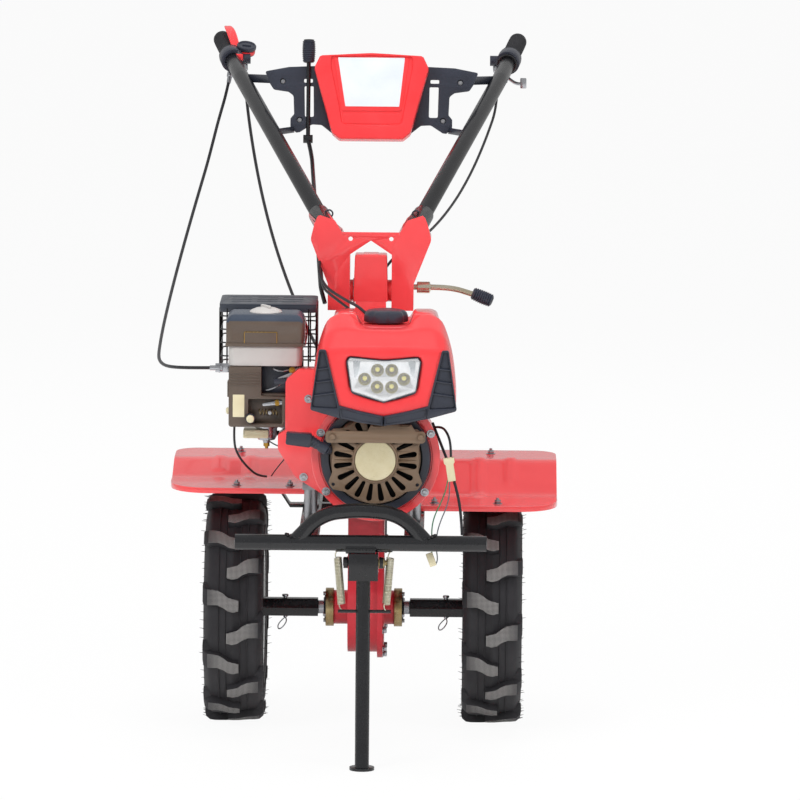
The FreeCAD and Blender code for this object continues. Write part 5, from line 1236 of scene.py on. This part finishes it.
def makeCage():
    c = cage
    left, right, front, back, corner = (c[key] for key in ("left", "right", "front", "back", "corner"))
    slots = []
    for index in range(9):
        x, y = left + 20 + index % 3 * c["slotPitch"][0], front + 36 + index // 3 * c["slotPitch"][1]
        slots.append(rectangle(x, y, x + c["slot"][0], y + c["slot"][1], 2))
    outline = rectangle(left, front, right, back, corner)
    lid = settle(plate("lid", outline, 3, slots, edge=0.7), (0, axle.y, (c["high"] - 3) * mm))
    inside = rectangle(left + 2, front + 2, right - 2, back - 2, corner - 2)
    skirt = settle(plate("skirt", outline, 13, [inside]), (0, axle.y, (c["high"] - 15) * mm))
    line = rounded(rectangle(left + 2, front + 2, right - 2, back - 2, corner), steps=4)
    wires = []
    for index in range(c["rings"]):
        z = c["low"] + index * (c["high"] - 22 - c["low"]) / (c["rings"] - 1)
        wires.append(tidy(meshed(lineCurve("ring", [spots(*[(*point, z) for point in line])], True, dimensions="3D",
                                           bevel_depth=c["wire"] * mm, bevel_resolution=1))))
    (across, deep), margin = c["bars"], c["margin"]
    places = [(left + margin + (right - left - 2 * margin) * i / (across - 1), y) for i in range(across)
              for y in (front + 0.6, back - 0.6)]
    places += [(x, front + margin + (back - front - 2 * margin) * i / (deep - 1)) for i in range(deep)
               for x in (left + 0.6, right - 0.6)]
    wires += [bar("wire", spot(x, y, c["low"] - 4), spot(x, y, c["high"] - 8), c["wire"], edge=0.4, sides=8)
              for x, y in places]
    give("silencer_guard", [lid, skirt], guardPaintSkyReflection, "black_paint", "muffler_guard")
    give("silencer_guard_wires", wires, blackEnamel, "black_paint")


makeCage()


# stand springs

springs = {"coil": 6.2, "wire": 1.1, "turns": 34, "perTurn": 12, "hook": 11}


def coilSpring(start, end):
    coil, hook, total = springs["coil"], springs["hook"], springs["turns"] * springs["perTurn"]
    long = (end - start).length / mm
    line = [(0, 0, 0), (coil * 0.6, 0, 2), (coil, 0, hook * 0.6)]
    for step in range(total + 1):
        line.append((*around(coil, 360 * step / springs["perTurn"]), hook + (long - 2 * hook) * step / total))
    line += [(coil, 0, long - hook * 0.6), (coil * 0.6, 0, long - 2), (0, 0, long)]
    piece = lineCurve("spring", [[local(*point) for point in line]], False, dimensions="3D",
                      bevel_depth=springs["wire"] * mm, bevel_resolution=1, use_fill_caps=True)
    return settle(tidy(meshed(piece)), start, along=(end - start).normalized())


def makeSprings():
    parts = [coilSpring(spot(6 + 47 * side, -470, 387), spot(6.5 + 38.5 * side, -474, 283)) for side in (1, -1)]
    piece = give("stand_return_springs", parts, zincWire, "zinc", "stand_springs")
    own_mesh(piece)


makeSprings()
print("guard and springs made")


# handlebar: grips, levers, adjusters, switch box and trigger

grip = {"rings": 13, "pitch": 6.8,
        "ring": [(17.2, 0), (16.3, 0.9), (16.3, 2.4), (17.5, 3.3), (17.5, 5.8)],
        "end": [(0, -4), (12, -4), (15.8, -2.5), (17.2, 2), (17.2, 8)],
        "collar": [(17.2, 103), (17.2, 109), (21, 111), (22.4, 113.5), (22.4, 116.5), (20.5, 118), (15.3, 118),
                   (15.3, 1), (0, 1)]}


def onTube(side, away, x=0, y=0, z=0):  # a place at a distance from the end of a handlebar tube, and its direction
    end, toward = tubeLine(side)[1:]
    return spot(*(end + toward * away + Vector((x, y, z)))), toward


def makeGrip(name, side):
    profile = list(grip["end"])
    for index in range(grip["rings"]):
        profile += [(radius, 12 + index * grip["pitch"] + up) for radius, up in grip["ring"]]
    piece = turned("grip", profile + grip["collar"], *onTube(side, 0), 40)
    give(name + "_ribbed", piece, gripRubber, "grip_rubber", name, body="handlebar", smooth=30)


handLever = {"route": [(256, 856, 1110), (257, 880, 1108), (261, 915, 1113), (266, 945, 1119), (269, 968, 1123),
                       (270, 985, 1121)],
             "ball": [(0, -8), (4, -7.2), (7.2, -4), (8, 0), (7.2, 4), (4, 7.2), (0, 8)], "blade": 5.5, "web": 3.2,
             "clamp": 120, "ferrule": 18.6}


def makeLever(name, side, material):
    route = handLever["route"]
    end, toward = tubeLine(side)[1:]
    near = end + toward * handLever["clamp"]
    parts = [tube("blade", spots(*route), handLever["blade"], 3),
             turned("ball", handLever["ball"], spot(*route[-1]), toward, 20),
             tube("web", [spot(x - 2, y, z + 7 - 5 * index / 3) for index, (x, y, z) in enumerate(route[1:5])],
                  handLever["web"], 2)]
    give(name + "_shaped", parts, material, "steel", name, body="handlebar")
    x, y, z = route[0]
    pivot = [bar("pin", spot(x, y, z - 9), spot(x, y, z + 9), 3.5), settle(hexHead(8, 4, 6), spot(x, y, z + 7))]
    give(name + "_pivot", pivot, brightSteel, "zinc", body="handlebar")
    ferrule = tube("ferrule", [spot(*(near + toward * away)) for away in (-6, -3, 1)], handLever["ferrule"], 3)
    give(name + "_ferrule", ferrule, brightSteel, "steel", body="handlebar")


adjuster = {"barrel": [(0, -6), (3.5, -6), (3.5, 0), (5.8, 0.4), (6.2, 1.5), (6.2, 11), (5.6, 12.2), (4.5, 12.8),
                       (4.2, 24), (3.6, 26), (3.2, 26), (3.2, 0), (0, 0)],
            "places": {"throttle_adjuster": ((-278.4, 872, 1117.5), (-6.6, -22, -37.5)),
                       "clutch_adjuster": ((-251.4, 868, 1131.2), (2, -22, -35)),
                       "lock_adjuster": ((236.6, 868, 1131.2), (4, -22, -33))}}


def makeAdjuster(name, place, way):  # a knurled barrel and locknut where a cable leaves its clamp
    start, toward = spot(*place), Vector(way).normalized()
    barrel = turned("barrel", adjuster["barrel"], start, toward, 18)
    nut = settle(bar("nut", local(0, 0, 0), local(0, 0, 4), 6.8, sides=6), start - toward * 4 * mm, along=toward)
    give(name, [barrel, nut], brightSteel, "zinc", body="handlebar")


makeGrip("grip_left", 1)
makeGrip("grip_right", -1)
makeLever("hand_lever_left", 1, chrome)

redLever = {"spine": [(-263, 862, 1146), (-268, 880, 1160), (-274, 905, 1176), (-280, 935, 1189), (-286, 965, 1195.5),
                      (-290, 990, 1197)],
            "half": [7, 8, 9, 9.5, 9, 6], "thick": 3.4,
            "section": [(-1, -1), (-0.4, -0.4), (0.4, -0.4), (1, -1), (1, 0.6), (0.4, 1.1), (-0.4, 1.1), (-1, 0.6)]}


def makeRedLever():
    spine, rows = redLever["spine"], []
    for index, (x, y, z) in enumerate(spine):
        run = Vector(spine[min(index + 1, len(spine) - 1)]) - Vector(spine[max(index - 1, 0)])
        rise = run.cross(Vector(leftward)).normalized() * redLever["thick"] / 2
        half = redLever["half"][index]
        rows.append([spot(x + half * wide, y + rise.y * up, z + rise.z * up) for wide, up in redLever["section"]])
    blade = modify(lofted("blade", rows), "SUBSURF", levels=2, render_levels=2)
    boss = bar("boss", spot(-263, 858, 1139), spot(-263, 858, 1153), 9, edge=1.5)
    give("red_lever", [blade, boss], redAbs, "red_lever", "hand_lever_right", body="handlebar", smooth=50)
    pin = settle(hexHead(8, 4, 6), spot(-263, 858, 1153))
    give("red_lever_pivot", pin, brightSteel, "zinc", body="handlebar")


makeRedLever()
for name, (place, way) in adjuster["places"].items():
    makeAdjuster(name, place, way)

switchBox = {"place": (-250, 886, 1150), "way": (0.10, -0.35, 0.93),
             "body": [(0, 0), (15, 0), (16.8, 1.5), (16.8, 9.5), (15, 11), (17.8, 12), (19, 13.5), (19, 18.5),
                      (17.6, 20.4), (15, 20.4), (14.2, 18.8), (0, 18.8)],
             "band": [(16, 3), (17.5, 3.4), (17.8, 4.6), (17.8, 9.4), (17.5, 10.6), (16, 11)]}


def makeSwitchBox():
    place, way = spot(*switchBox["place"]), Vector(switchBox["way"]).normalized()
    button = block("button", local(-8.5, -3.2, 18.4), local(8.5, 3.2, 21.2), edge=1.2)
    parts = [turned("body", switchBox["body"], place, way, 36), settle(button, place, along=way)]
    band = turned("band", switchBox["band"], place, way, 36, closed=True)
    give("switch_box", parts, blackPlastic, "black_plastic", body="handlebar", smooth=30)
    give("switch_band", band, redAbs, "red_lever", body="handlebar")


makeSwitchBox()

trigger = {"away": 152, "arm": [(-8, 0, -20), (6, -6, -32), (22, -14, -40), (30, -24, -36)], "foot": (31, -25, -36),
           "band": [(15.3, -7), (18.5, -7), (19.2, -6), (19.2, 6), (18.5, 7), (15.3, 7)]}


def makeTrigger():
    away = trigger["away"]
    foot = settle(block("foot", local(-6, -3, -10), local(6, 3, 10), edge=1.5), onTube(1, away, *trigger["foot"])[0])
    arm = tube("arm", [onTube(1, away, *point)[0] for point in trigger["arm"]], 3.2, 3)
    give("lock_trigger", [arm, foot], brightSteel, "steel", body="handlebar")
    band = turned("band", trigger["band"], *onTube(1, away), 32, closed=True)
    give("trigger_band", band, blackEnamel, "black_paint", body="handlebar")


makeTrigger()
print("handlebar fittings made")


# dashboard fittings

dash = {"x": -0.98, "y": 545, "z": 1016, "lean": 12}
dashLean = (Matrix.Rotation(-math.radians(dash["lean"]), 3, "X") @ facingAhead).to_quaternion()
panelWhite = plastic("blank silver-white facia sheet", "#e4ebf0", "#d9e2e9", roughness=0.28, relief=0.01)


def onDash(x, up, out=0.0):
    c, s = around(1, dash["lean"])
    return spot(dash["x"] + x, dash["y"] - out * c + up * s, dash["z"] + out * s + up * c)


def dashPlate(name, corners, thick, edge, out, holes=()):  # a flat sheet parallel to the dashboard
    return settle(plate(name, corners, thick, holes, edge), onDash(0, 0, out), lean=dashLean)


def evened(outline, count=120):  # the same outline with evenly spaced points, from its lowest middle point
    start = min(range(len(outline)), key=lambda i: (outline[i].x < -1e-6, round(outline[i].y, 4), outline[i].x))
    points = outline[start:] + outline[:start]
    lowest = Vector((0, points[0].y))
    points = [lowest] + [p for p in points if (p - lowest).length > 1e-5] + [lowest]
    runs = [(b - a).length for a, b in zip(points, points[1:])]
    total, result, index, passed = sum(runs), [], 0, 0.0
    for step in range(count):
        want = total * step / count
        while passed + runs[index] < want:
            passed += runs[index]
            index += 1
        result.append(points[index].lerp(points[index + 1], (want - passed) / runs[index]))
    return result


dashFrame = {
    "outer": [(-60, 2.5, 5), (61, 2.5, 5), (75, 14, 7), (109, 138.5, 6), (97.5, 162.4, 4), (78, 163.4), (0, 166.6),
              (-78, 163.4), (-97.5, 162.4, 4), (-109, 138.5, 6), (-74, 14, 7)],
    "inner": [(0, 26), (46, 28.5), (59, 32, 7), (64.5, 67, 6), (78.5, 140), (78.2, 160.4, 3), (0, 163.8),
              (-77, 160.4, 3), (-77.4, 140), (-61.5, 67, 6), (-56, 32, 7), (-43, 28.5)],
    "outerRings": [(-1, -42), (0, -41), (0, -5), (-0.6, -2.6), (-2, -1.2), (-4, -0.6)],  # growth, depth
    "innerRings": [(3, 0), (1.2, -0.3), (0, -1.2), (-0.6, -2.4), (-1.6, -4), (-3.2, -4.8), (-5.4, -5)],
    "step": [(-56, 56.5, 5), (58, 56.5, 5), (71, 157.6, 2), (-71, 157.6, 2)],
    "band": [(-52, 32, 4), (55, 32, 4), (59.5, 52, 3), (-55, 52, 3)],
    "facia": [(-49, 65.1, 1.2), (53.1, 65.1, 1.2), (63.3, 158.5, 1.2), (-63.8, 158.5, 1.2)]}


def makeDash():
    rows, centre = [], Vector((0, 85))
    for name in ("outer", "inner"):
        line = [point / mm for point in evened(rounded(flat(dashFrame[name])))]
        for grow, out in dashFrame[name + "Rings"]:
            rows.append([onDash(*(point + (point - centre).normalized() * grow), out) for point in line])
    parts = [lofted("frame", rows), dashPlate("step", dashFrame["step"], 1.8, 0.7, -5.2),
             dashPlate("band", dashFrame["band"], 1.8, 0.8, -5.4)]
    give("dash_frame", parts, redAbs, "red_plastic", "dashboard", body="handlebar", smooth=24)
    panel = dashPlate("facia", dashFrame["facia"], 0.8, 0.2, -3.5)
    give("blank_facia", panel, panelWhite, "grey_plastic", body="handlebar")


makeDash()

sidePlate = {"outline": [(72, 21), (75, 18), (94.5, 33.5, 9), (113, 34.5, 10), (136, 19.5, 3), (143, 18.5, 3),
                         (154, 30, 5), (154, 45.5, 5), (147, 54, 4), (148.5, 89.5, 8), (158, 96.5, 6), (186, 100.5, 7),
                         (193.5, 112, 3), (203, 135.5, 3), (158, 144.2), (108, 146.4), (100, 146.5)],
             "slot": [(109.5, 49, 3), (126.3, 49, 3), (127.6, 107.5, 2), (110.5, 107.5, 2)],
             "dimple": rectangle(112, 114.5, 128.5, 121.5, 2), "holes": [(168.8, 116.5), (136.4, 42.8)],
             "straps": [(0.985, (182, 121), -3, 8), (0.60, (148, 25), 0, 6)]}  # bar share, start, drop, half height


def makeSidePlates():
    parts, heads = [], []
    out = dashLean @ Vector(upward)
    for side in (1, -1):
        centres = [(x * side, up) for x, up in sidePlate["holes"]]
        holes = [sided(sidePlate["slot"], side), sided(sidePlate["dimple"], side)]
        holes += [disc(5.4, centre, 28) for centre in centres]
        parts.append(dashPlate("sheet", sided(sidePlate["outline"], side), 6, 1.4, -46, holes))
        parts += [dashPlate("backing", disc(7.5, centre, 28), 2.2, 0.4, -47.5) for centre in centres]
        start = Vector((handle["x"] + handle["front"][0] * side, *handle["front"][1:]))
        for share, (x, up), drop, half in sidePlate["straps"]:
            fixing = onDash(x * side, up, -47)
            onBar = spot(*(start.lerp(tubeLine(side)[0], share) - Vector((11 * side, 0, drop))))
            rows = [[point + local(wide, 0, z) for wide, z in ((-2, -half), (2, -half), (2, half), (-2, half))]
                    for point in (fixing, fixing.lerp(onBar, 0.12), fixing.lerp(onBar, 0.9), onBar)]
            parts.append(softEdges(lofted("strap", rows), 0.8))
        heads += [(onDash(x, up, -45.4), out, 17 * side + up) for x, up in centres]
    give("dash_side_plates", parts, blackPlastic, "black_paint", "dash_plates", body="handlebar", smooth=30)
    fastened("dash_bolts", brightSteel, hexHead(6.4, 3.5, 4.6), heads, "zinc", body="handlebar")


makeSidePlates()

knob = {"radius": 11.2, "ringPitch": 4.2, "ring": [(0.92, 0), (1.04, 1.2), (1.04, 2.6), (0.92, 3.4)]}


def makeKnob(name, start, end, body):
    radius, long = knob["radius"], (end - start).length / mm
    profile = [(0, 0), (radius * 0.7, 0), (radius * 0.9, 1)]
    rings = int(long / knob["ringPitch"])
    for index in range(rings):
        swell = 0.1 * math.sin(math.pi * index / rings)
        profile += [(radius * (share + swell), 2 + index * (long - 4) / rings + up) for share, up in knob["ring"]]
    profile += [(radius * 0.85, long - 1.5), (radius * 0.6, long), (0, long)]
    piece = turned(name, profile, start, (end - start).normalized(), 28)
    give(name, piece, blackPlastic, "black_plastic", body=body, smooth=30)


makeKnob("gear_knob", onDash(-120, 152, -37.7), onDash(-120, 196, -37.7), "handlebar")
makeKnob("adjust_knob", spot(193, 30, 787), spot(230, 30, 772), "chassis")

adjustRod = {"route": [(58, 30, 797), (110, 30, 797), (140, 30, 796.5), (160, 30, 794.5), (178, 30, 790),
                       (196, 30, 784)], "radius": 5.2,
             "collar": [(0, 0), (9.4, 0), (10.6, 1.2), (10.6, 22.8), (9.4, 24), (7.2, 24), (6, 25.2), (0, 25.2)]}
postCap = [(31.4, 772), (30.4, 815), (29.2, 853), (28.4, 857.2)]  # half width and height
toothedWasher = {"teeth": 24, "high": 22.5, "low": 20.9, "bore": 7.8, "places": {-26: 5.2, 42: 6.2}}


def makePostFittings():
    parts = [tube("rod", spots(*adjustRod["route"]), adjustRod["radius"], 5),
             turned("collar", adjustRod["collar"], spot(92, 30, 796.5), leftward)]
    give("adjust_rod", parts, creamZinc, "zinc", "adjust_lever")
    rows = [spots((8 - half, 4.4, z), (8 + half, 4.4, z), (8 + half, 55.6, z), (8 - half, 55.6, z))
            for half, z in postCap]
    give("post_cap", softEdges(lofted("cap", rows), 2.4, segments=3), redEnamel, "red_paint", smooth=30)
    washers, count = [], toothedWasher["teeth"] * 2
    teeth = [around(toothedWasher["high" if step % 2 else "low"], 360 * step / count) for step in range(count)]
    for x, out in toothedWasher["places"].items():
        washer = plate("washer", teeth, 3.5, [disc(toothedWasher["bore"])], edge=0.5)
        washers.append(settle(washer, spot(x + out, 30, 790), along=rightward if x < 0 else leftward))
    nut = settle(hexHead(24, 14, 16.5, nose=3), spot(49.5, 30, 790), along=leftward)
    collar = bar("collar", spot(64, 30, 790), spot(78, 30, 790), 8.5, edge=1.5)
    give("clamp_washers", washers, brightSteel, "zinc")
    give("clamp_nut", [nut, collar], yellowZinc, "zinc")


makePostFittings()

cableRing = {"radius": 6.8, "thick": 1.5, "places": {"left": (89, 70, 926), "right": (-70, 70, 926)}}
tankLead = {"radius": 2.8, "route": [(-84, 8, 850), (-86, -14, 838), (-84, -34, 824), (-72, -62, 806), (-52, -98, 797),
                                     (-32, -150, 792), (-14, -196, 789), (-2, -222, 783), (6, -232, 776)]}
section = [around(cableRing["thick"], 36 * step) for step in range(10)]
for side, place in cableRing["places"].items():
    ring = turned("ring", [(cableRing["radius"] + x, z) for x, z in section], spot(*place), ahead, 36, closed=True)
    give("cable_ring_" + side, ring, blackPlastic, "black_plastic", body="handlebar")
give("tank_lead", tube("lead", spots(*tankLead["route"]), tankLead["radius"], 4), cableJacket, "cable_jacket")
print("dashboard, knobs and post fittings made")

# wheels: tread ridges, moulding hairs and axle pins

treadLines = {"ridges": [(0, 2.6), (13.5, 1), (-13.5, 1), (26, 0.8), (-26, 0.8)], "bands": (132, 150, 168),
              "hair": [(0, -0.002), (0.0007, -0.002), (0.00055, 0.5), (0.0002, 1.0), (0, 1.0)]}


def makeTreadLines(node, seed):
    centre, low = middle(node), tyre["radius"] - tyre["groove"]
    lines = []
    for at, tall in treadLines["ridges"]:
        profile = [(low - 3, at - 1.6), (low + tall, at - 0.7), (low + tall, at + 0.7), (low - 3, at + 1.6)]
        lines.append(turned("ridge", profile, (0, 0, 0), leftward, 96, closed=True))
    for at in treadLines["bands"]:
        for face in (1, -1):
            x = face * (tyre["half"] - 2.2 - max(0, 150 - at) * 0.12)
            profile = [(at - 1.2, x - face * 3), (at - 0.4, x + face * 0.9), (at + 0.4, x + face * 0.9),
                       (at + 1.2, x - face * 3)]
            lines.append(turned("band", profile, (0, 0, 0), leftward, 96, closed=True))
    give("tread_lines_" + node, settle(joined("lines", lines), centre), rubberSide, "tyre_rubber", body="drive_axle")
    draw, hairs = seed, []
    one = spun("hair", [(radius / mm, up / mm) for radius, up in treadLines["hair"]], 5)
    for index in range(tread["hairs"]):
        draw = (draw * 1103515245 + 12345) % 2147483648
        first = draw / 2147483648
        draw = (draw * 1103515245 + 12345) % 2147483648
        second = draw / 2147483648
        face = 1 if index % 2 else -1
        angle = 2 * math.pi * (index + first) / tread["hairs"]
        radius, long = 188 + 16 * second, 0.0045 + 0.0075 * first
        root = local(face * (51.5 - 4 * second), -radius * math.cos(angle), radius * math.sin(angle))
        way = Vector((face, 0.25 * (second - 0.5), 0.5 * (first - 0.4)))
        hair = copied(one, "hair")
        hair.data.transform(Matrix.Scale(long, 4, upward))
        hairs.append(settle(hair, root, along=way.normalized()))
    bpy.data.objects.remove(one)
    give("moulding_hairs_" + node, settle(joined("hairs", hairs), centre), rubberSide, "tyre_rubber", body="drive_axle")


makeTreadLines("tyre_left", 12352)
makeTreadLines("tyre_right", 12345)

axlePins = {"places": (150, -144), "clip": [(0, -2, 191), (4, -6, 186), (-3, -9, 174), (-12, -8, 168), (-14, -5, 176),
                                            (-5, -3, 187), (5, 1, 193), (14, 3, 199)]}


def makeAxlePins():
    pins, clips = [], []
    for at in axlePins["places"]:
        pins += [bar("pin", spot(at, -1, 190), spot(at, -1, 232), 3.5, sides=14),
                 bar("head", spot(at, -1, 228.6), spot(at, -1, 233), 6, edge=1, sides=18)]
        clips.append(tube("clip", [spot(at + x, y, z) for x, y, z in axlePins["clip"]], 1.1, 2))
    give("axle_pins", pins, brightSteel, "zinc", body="drive_axle")
    give("axle_pin_clips", clips, brightSteel, "steel", body="drive_axle")


makeAxlePins()
print("wheels finished")


# fasteners and seams on the gearbox, bumper, frame and shroud

gearbox = {"face": 35, "axle": 210, "round": 84.5, "heights": (330, 400, 470, 540, 610), "half": 62.5,
           "hidden": (-62.5, 540), "capBolts": 28, "cap": 70,
           "seal": [(15.5, -1), (21, -1), (21.5, 1.2), (20, 2.2), (15.8, 1.6)]}


def makeGearboxBolts():
    g = gearbox
    places = []
    for angle in range(-160, 1, 32):
        y, z = around(g["round"], angle)
        places.append((spot(g["face"], y, g["axle"] + z), leftward, angle))
    places += [(spot(g["face"], y, z), leftward, z) for z in g["heights"] for y in (-g["half"], g["half"])
               if (y, z) != g["hidden"]]
    fastened("gearbox_bolts", brightSteel, hexHead(10, 6, 6.8), places, "zinc")
    rings = []
    for side in (1, -1):
        for index in range(4):
            y, z = around(g["capBolts"], 20 + 90 * index)
            rings.append((spot(g["cap"] * side, y, g["axle"] + z), (side, 0, 0), 30))
    fastened("bearing_cap_bolts", brightSteel, hexHead(6.5, 3, 4.2), rings, "zinc")
    seals = [turned("seal", g["seal"], spot((g["cap"] + 0.2) * side, 0, g["axle"]), (side, 0, 0), 40, closed=True)
             for side in (1, -1)]
    give("axle_seals", seals, blackPlastic, "black_plastic")
    plugs = [(spot(-29.5, -40, 300), rightward, 0), (spot(-29.5, 30, 480), rightward, 20)]
    fastened("oil_plugs", brightSteel, hexHead(14, 7, 10.5), plugs, "zinc")


makeGearboxBolts()

bumper = {"archBeads": 15, "archBead": [(0, -2.2), (2, -1.4), (2.8, 0), (2, 1.4), (0, 2.2)],
          "seamBeads": 26, "seamBead": [(0, -1.8), (1.8, -1.2), (2.4, 0), (1.8, 1.2), (0, 1.8)],
          "cap": [(0, 0), (11.8, 0), (12.8, 0.6), (13.4, 2.2), (12.8, 3.4), (0, 4.4)],
          "railBolts": [(-286, 390, downward), (-212, 390, downward), (86, 414.2, upward)]}


def makeBumperDetails():
    beads, caps = [], []
    for side in (1, -1):
        for step in range(bumper["archBeads"]):
            angle = 2 * math.pi * step / bumper["archBeads"]
            place = spot(114 * side + 17.5 * math.cos(angle), -470 + 12 * math.sin(angle),
                         415 + 2.2 * math.cos(angle * 2))
            beads.append(turned("bead", bumper["archBead"], place, sides=8))
        caps.append(turned("cap", bumper["cap"], spot(217.4 * side, -470, 402), (side, 0, 0)))
    for step in range(bumper["seamBeads"]):
        place = spot(-24 + step * 2, -484, 393 + 0.8 * math.sin(step * 2.1))
        beads.append(turned("bead", bumper["seamBead"], place, sides=8))
    give("weld_beads", beads, blackEnamel, "black_paint", smooth=60)
    give("bumper_end_caps", caps, blackPlastic, "black_plastic")
    spreader = bar("spreader", spot(-44, -470, 389), spot(56, -470, 389), 3, edge=0.6, sides=14)
    give("spring_bar", spreader, blackEnamel, "black_paint")
    nut = settle(hexHead(17, 9, 10.5, nose=4), spot(32, -470, 367), along=leftward)
    give("stand_pivot_nut", nut, yellowZinc, "zinc")
    rails = [(spot(93 * side, y, z), way, y) for side in (1, -1) for y, z, way in bumper["railBolts"]]
    fastened("frame_bolts", brightSteel, hexHead(13, 7, 11), rails, "zinc")


makeBumperDetails()

shroud = {"x": 24, "z": 541, "lip": [(100.5, 0), (112.5, 0), (114, 1.8), (112.8, 3.6), (101, 3.6), (99.8, 1.8)],
          "boltCircle": 106.5, "boltAngles": (-35, -145, 24, 156)}


def makeShroudDetails():
    lip = turned("lip", shroud["lip"], spot(shroud["x"], -376.5, shroud["z"]), ahead, 72, closed=True)
    heads = []
    for angle in shroud["boltAngles"]:
        x, z = around(shroud["boltCircle"], angle)
        heads.append((spot(shroud["x"] + x, -380.2, shroud["z"] + z), ahead, angle))
    heads += [(spot(-96, -345.4, 640), ahead, 10), (spot(-104, -345.4, 500), ahead, 30)]
    give("shroud_lip", lip, redEnamel, "red_paint")
    fastened("shroud_bolts", brightSteel, hexHead(9, 5, 7.5), heads, "zinc")


makeShroudDetails()

pullHandle = {"place": (-111, -424, 579), "lean": 5, "flare": 3.0,
              "boot": [(0, 0), (9.5, 0), (10.5, 3), (8.8, 6), (9.8, 9), (8.2, 12), (9.2, 15), (7.8, 18), (9, 22),
                       (10, 26), (10, 34), (6, 36), (0, 36)]}


def makePullHandle():
    handgrip = block("grip", local(-21, -12, -11.5), local(21, 12, 11.5))
    openMesh(handgrip)
    pick(handgrip, lambda face: abs(face.normal.x) > 0.9)
    bpy.ops.mesh.inset(thickness=2 * mm)
    bpy.ops.transform.resize(value=(1.06, 1, 1), center_override=(0, 0, 0))
    softEdges(handgrip, 3.4, segments=3)
    for vertex in handgrip.data.vertices:
        vertex.co.z *= 1 + pullHandle["flare"] * vertex.co.x
    settle(handgrip, spot(*pullHandle["place"]), lean=tilted(pullHandle["lean"], "Y"))
    boot = turned("boot", pullHandle["boot"], spot(-92, -422, 577), Vector((0.86, 0.10, -0.5)).normalized(), 24)
    guide = bar("guide", spot(-64, -417.5, 560.5), spot(-56, -400, 556), 7.8, edge=1)
    give("pull_handle", [handgrip, boot, guide], blackPlastic, "black_plastic", "starter_handle", smooth=30)


makePullHandle()

fuelCap = {"place": (38.5, -240, 767), "lobes": 7, "depth": 0.075,
           "profile": [(0, 0), (38.5, 0), (40, 1.5), (40.2, 5), (39.6, 11), (37.2, 16.5), (33, 19.5), (24, 21.2),
                       (12, 22), (0, 22.2)]}


def makeCap():
    cap = spun("cap", fuelCap["profile"], 96)
    for vertex in cap.data.vertices:
        x, y, z = vertex.co
        reach = math.hypot(x, y)
        if reach > 0.02:
            lobe = 0.5 + 0.5 * math.cos(fuelCap["lobes"] * math.atan2(y, x) + math.pi)
            pull = 1 - fuelCap["depth"] * lobe ** 3 * ease(reach, 0.020, 0.037)
            vertex.co = (x * pull, y * pull, z)
    give("cap", settle(cap, spot(*fuelCap["place"])), blackPlastic, "black_plastic", "fuel_cap", smooth=40)


makeCap()


# connectors and loose wires beside the engine

wires = {
    "connector_lead": {"radius": 2.2, "sides": 3, "jacket": cableJacket, "route": [
        (128, -352, 592), (140, -382, 598), (151, -410, 590), (157, -420, 570), (157, -421, 549)]},
    "green_wire": {"radius": 1.1, "sides": 2, "jacket": plastic("green PVC wire", "#2f6f4d", "#3a8059", roughness=0.4),
                   "route": [(152, -421, 508), (149, -424, 490), (140, -430, 468), (128, -436, 444), (124, -438, 420),
                             (126, -440, 396), (125, -440, 380)]},
    "grey_wire": {"radius": 1.1, "sides": 2, "jacket": plastic("grey PVC wire", "#5d6166", "#6c7075", roughness=0.4),
                  "route": [(155, -421, 508), (156, -424, 486), (151, -430, 462), (141, -436, 440), (134, -438, 418),
                            (132, -441, 392), (136, -442, 368), (130, -440, 357), (124, -440, 360)]},
    "carburettor_lead": {"radius": 2.1, "sides": 3, "jacket": cableJacket, "route": [
        (-228, -312, 590), (-230, -300, 556), (-224, -268, 528), (-208, -228, 500), (-190, -186, 478),
        (-176, -150, 472)]},
    "carburettor_wire": {"radius": 1.1, "sides": 2, "jacket": cableJacket, "route": [
        (-178, -266, 560), (-160, -258, 545), (-140, -246, 538), (-128, -240, 536), (-140, -226, 516),
        (-156, -200, 494), (-166, -170, 476)]}}
connector = {"lean": -9, "pivot": (156, -421, 528), "plug": (124, -440, 369), "plugLean": -20}


def makeConnectors():
    shell = block("shell", spot(149, -426, 506), spot(163, -417, 536))
    openMesh(shell)
    pick(shell, facing(upward))
    bpy.ops.mesh.extrude_region_move(TRANSFORM_OT_translate={"value": local(0, 0, 3)})
    bpy.ops.transform.resize(value=(1.35, 1.2, 1), center_override=spot(156, -421.5, 539))
    bpy.ops.mesh.extrude_region_move(TRANSFORM_OT_translate={"value": local(0, 0, 9)})
    bpy.ops.mesh.inset(thickness=1.5 * mm)
    bpy.ops.transform.translate(value=local(0, 0, -4))
    softEdges(shell, 0.9)
    pivot = spot(*connector["pivot"])
    shell.data.transform(Matrix.Translation(pivot) @ tilted(connector["lean"], "Y").to_matrix().to_4x4()
                         @ Matrix.Translation(-pivot))
    plug = press(block("plug", local(-6, -4.5, -12), local(6, 4.5, 12)), facing(upward), (1.4, (0, 0, -3)))
    settle(softEdges(plug, 0.8), spot(*connector["plug"]), lean=tilted(connector["plugLean"], "Y"))
    give("lead_connectors", [shell, plug], whitePlastic, "grey_plastic")


makeConnectors()
for name, wire in wires.items():
    give(name, tube("wire", spots(*wire["route"]), wire["radius"], wire["sides"]), wire["jacket"], "cable_jacket")
print("fasteners and wiring made")
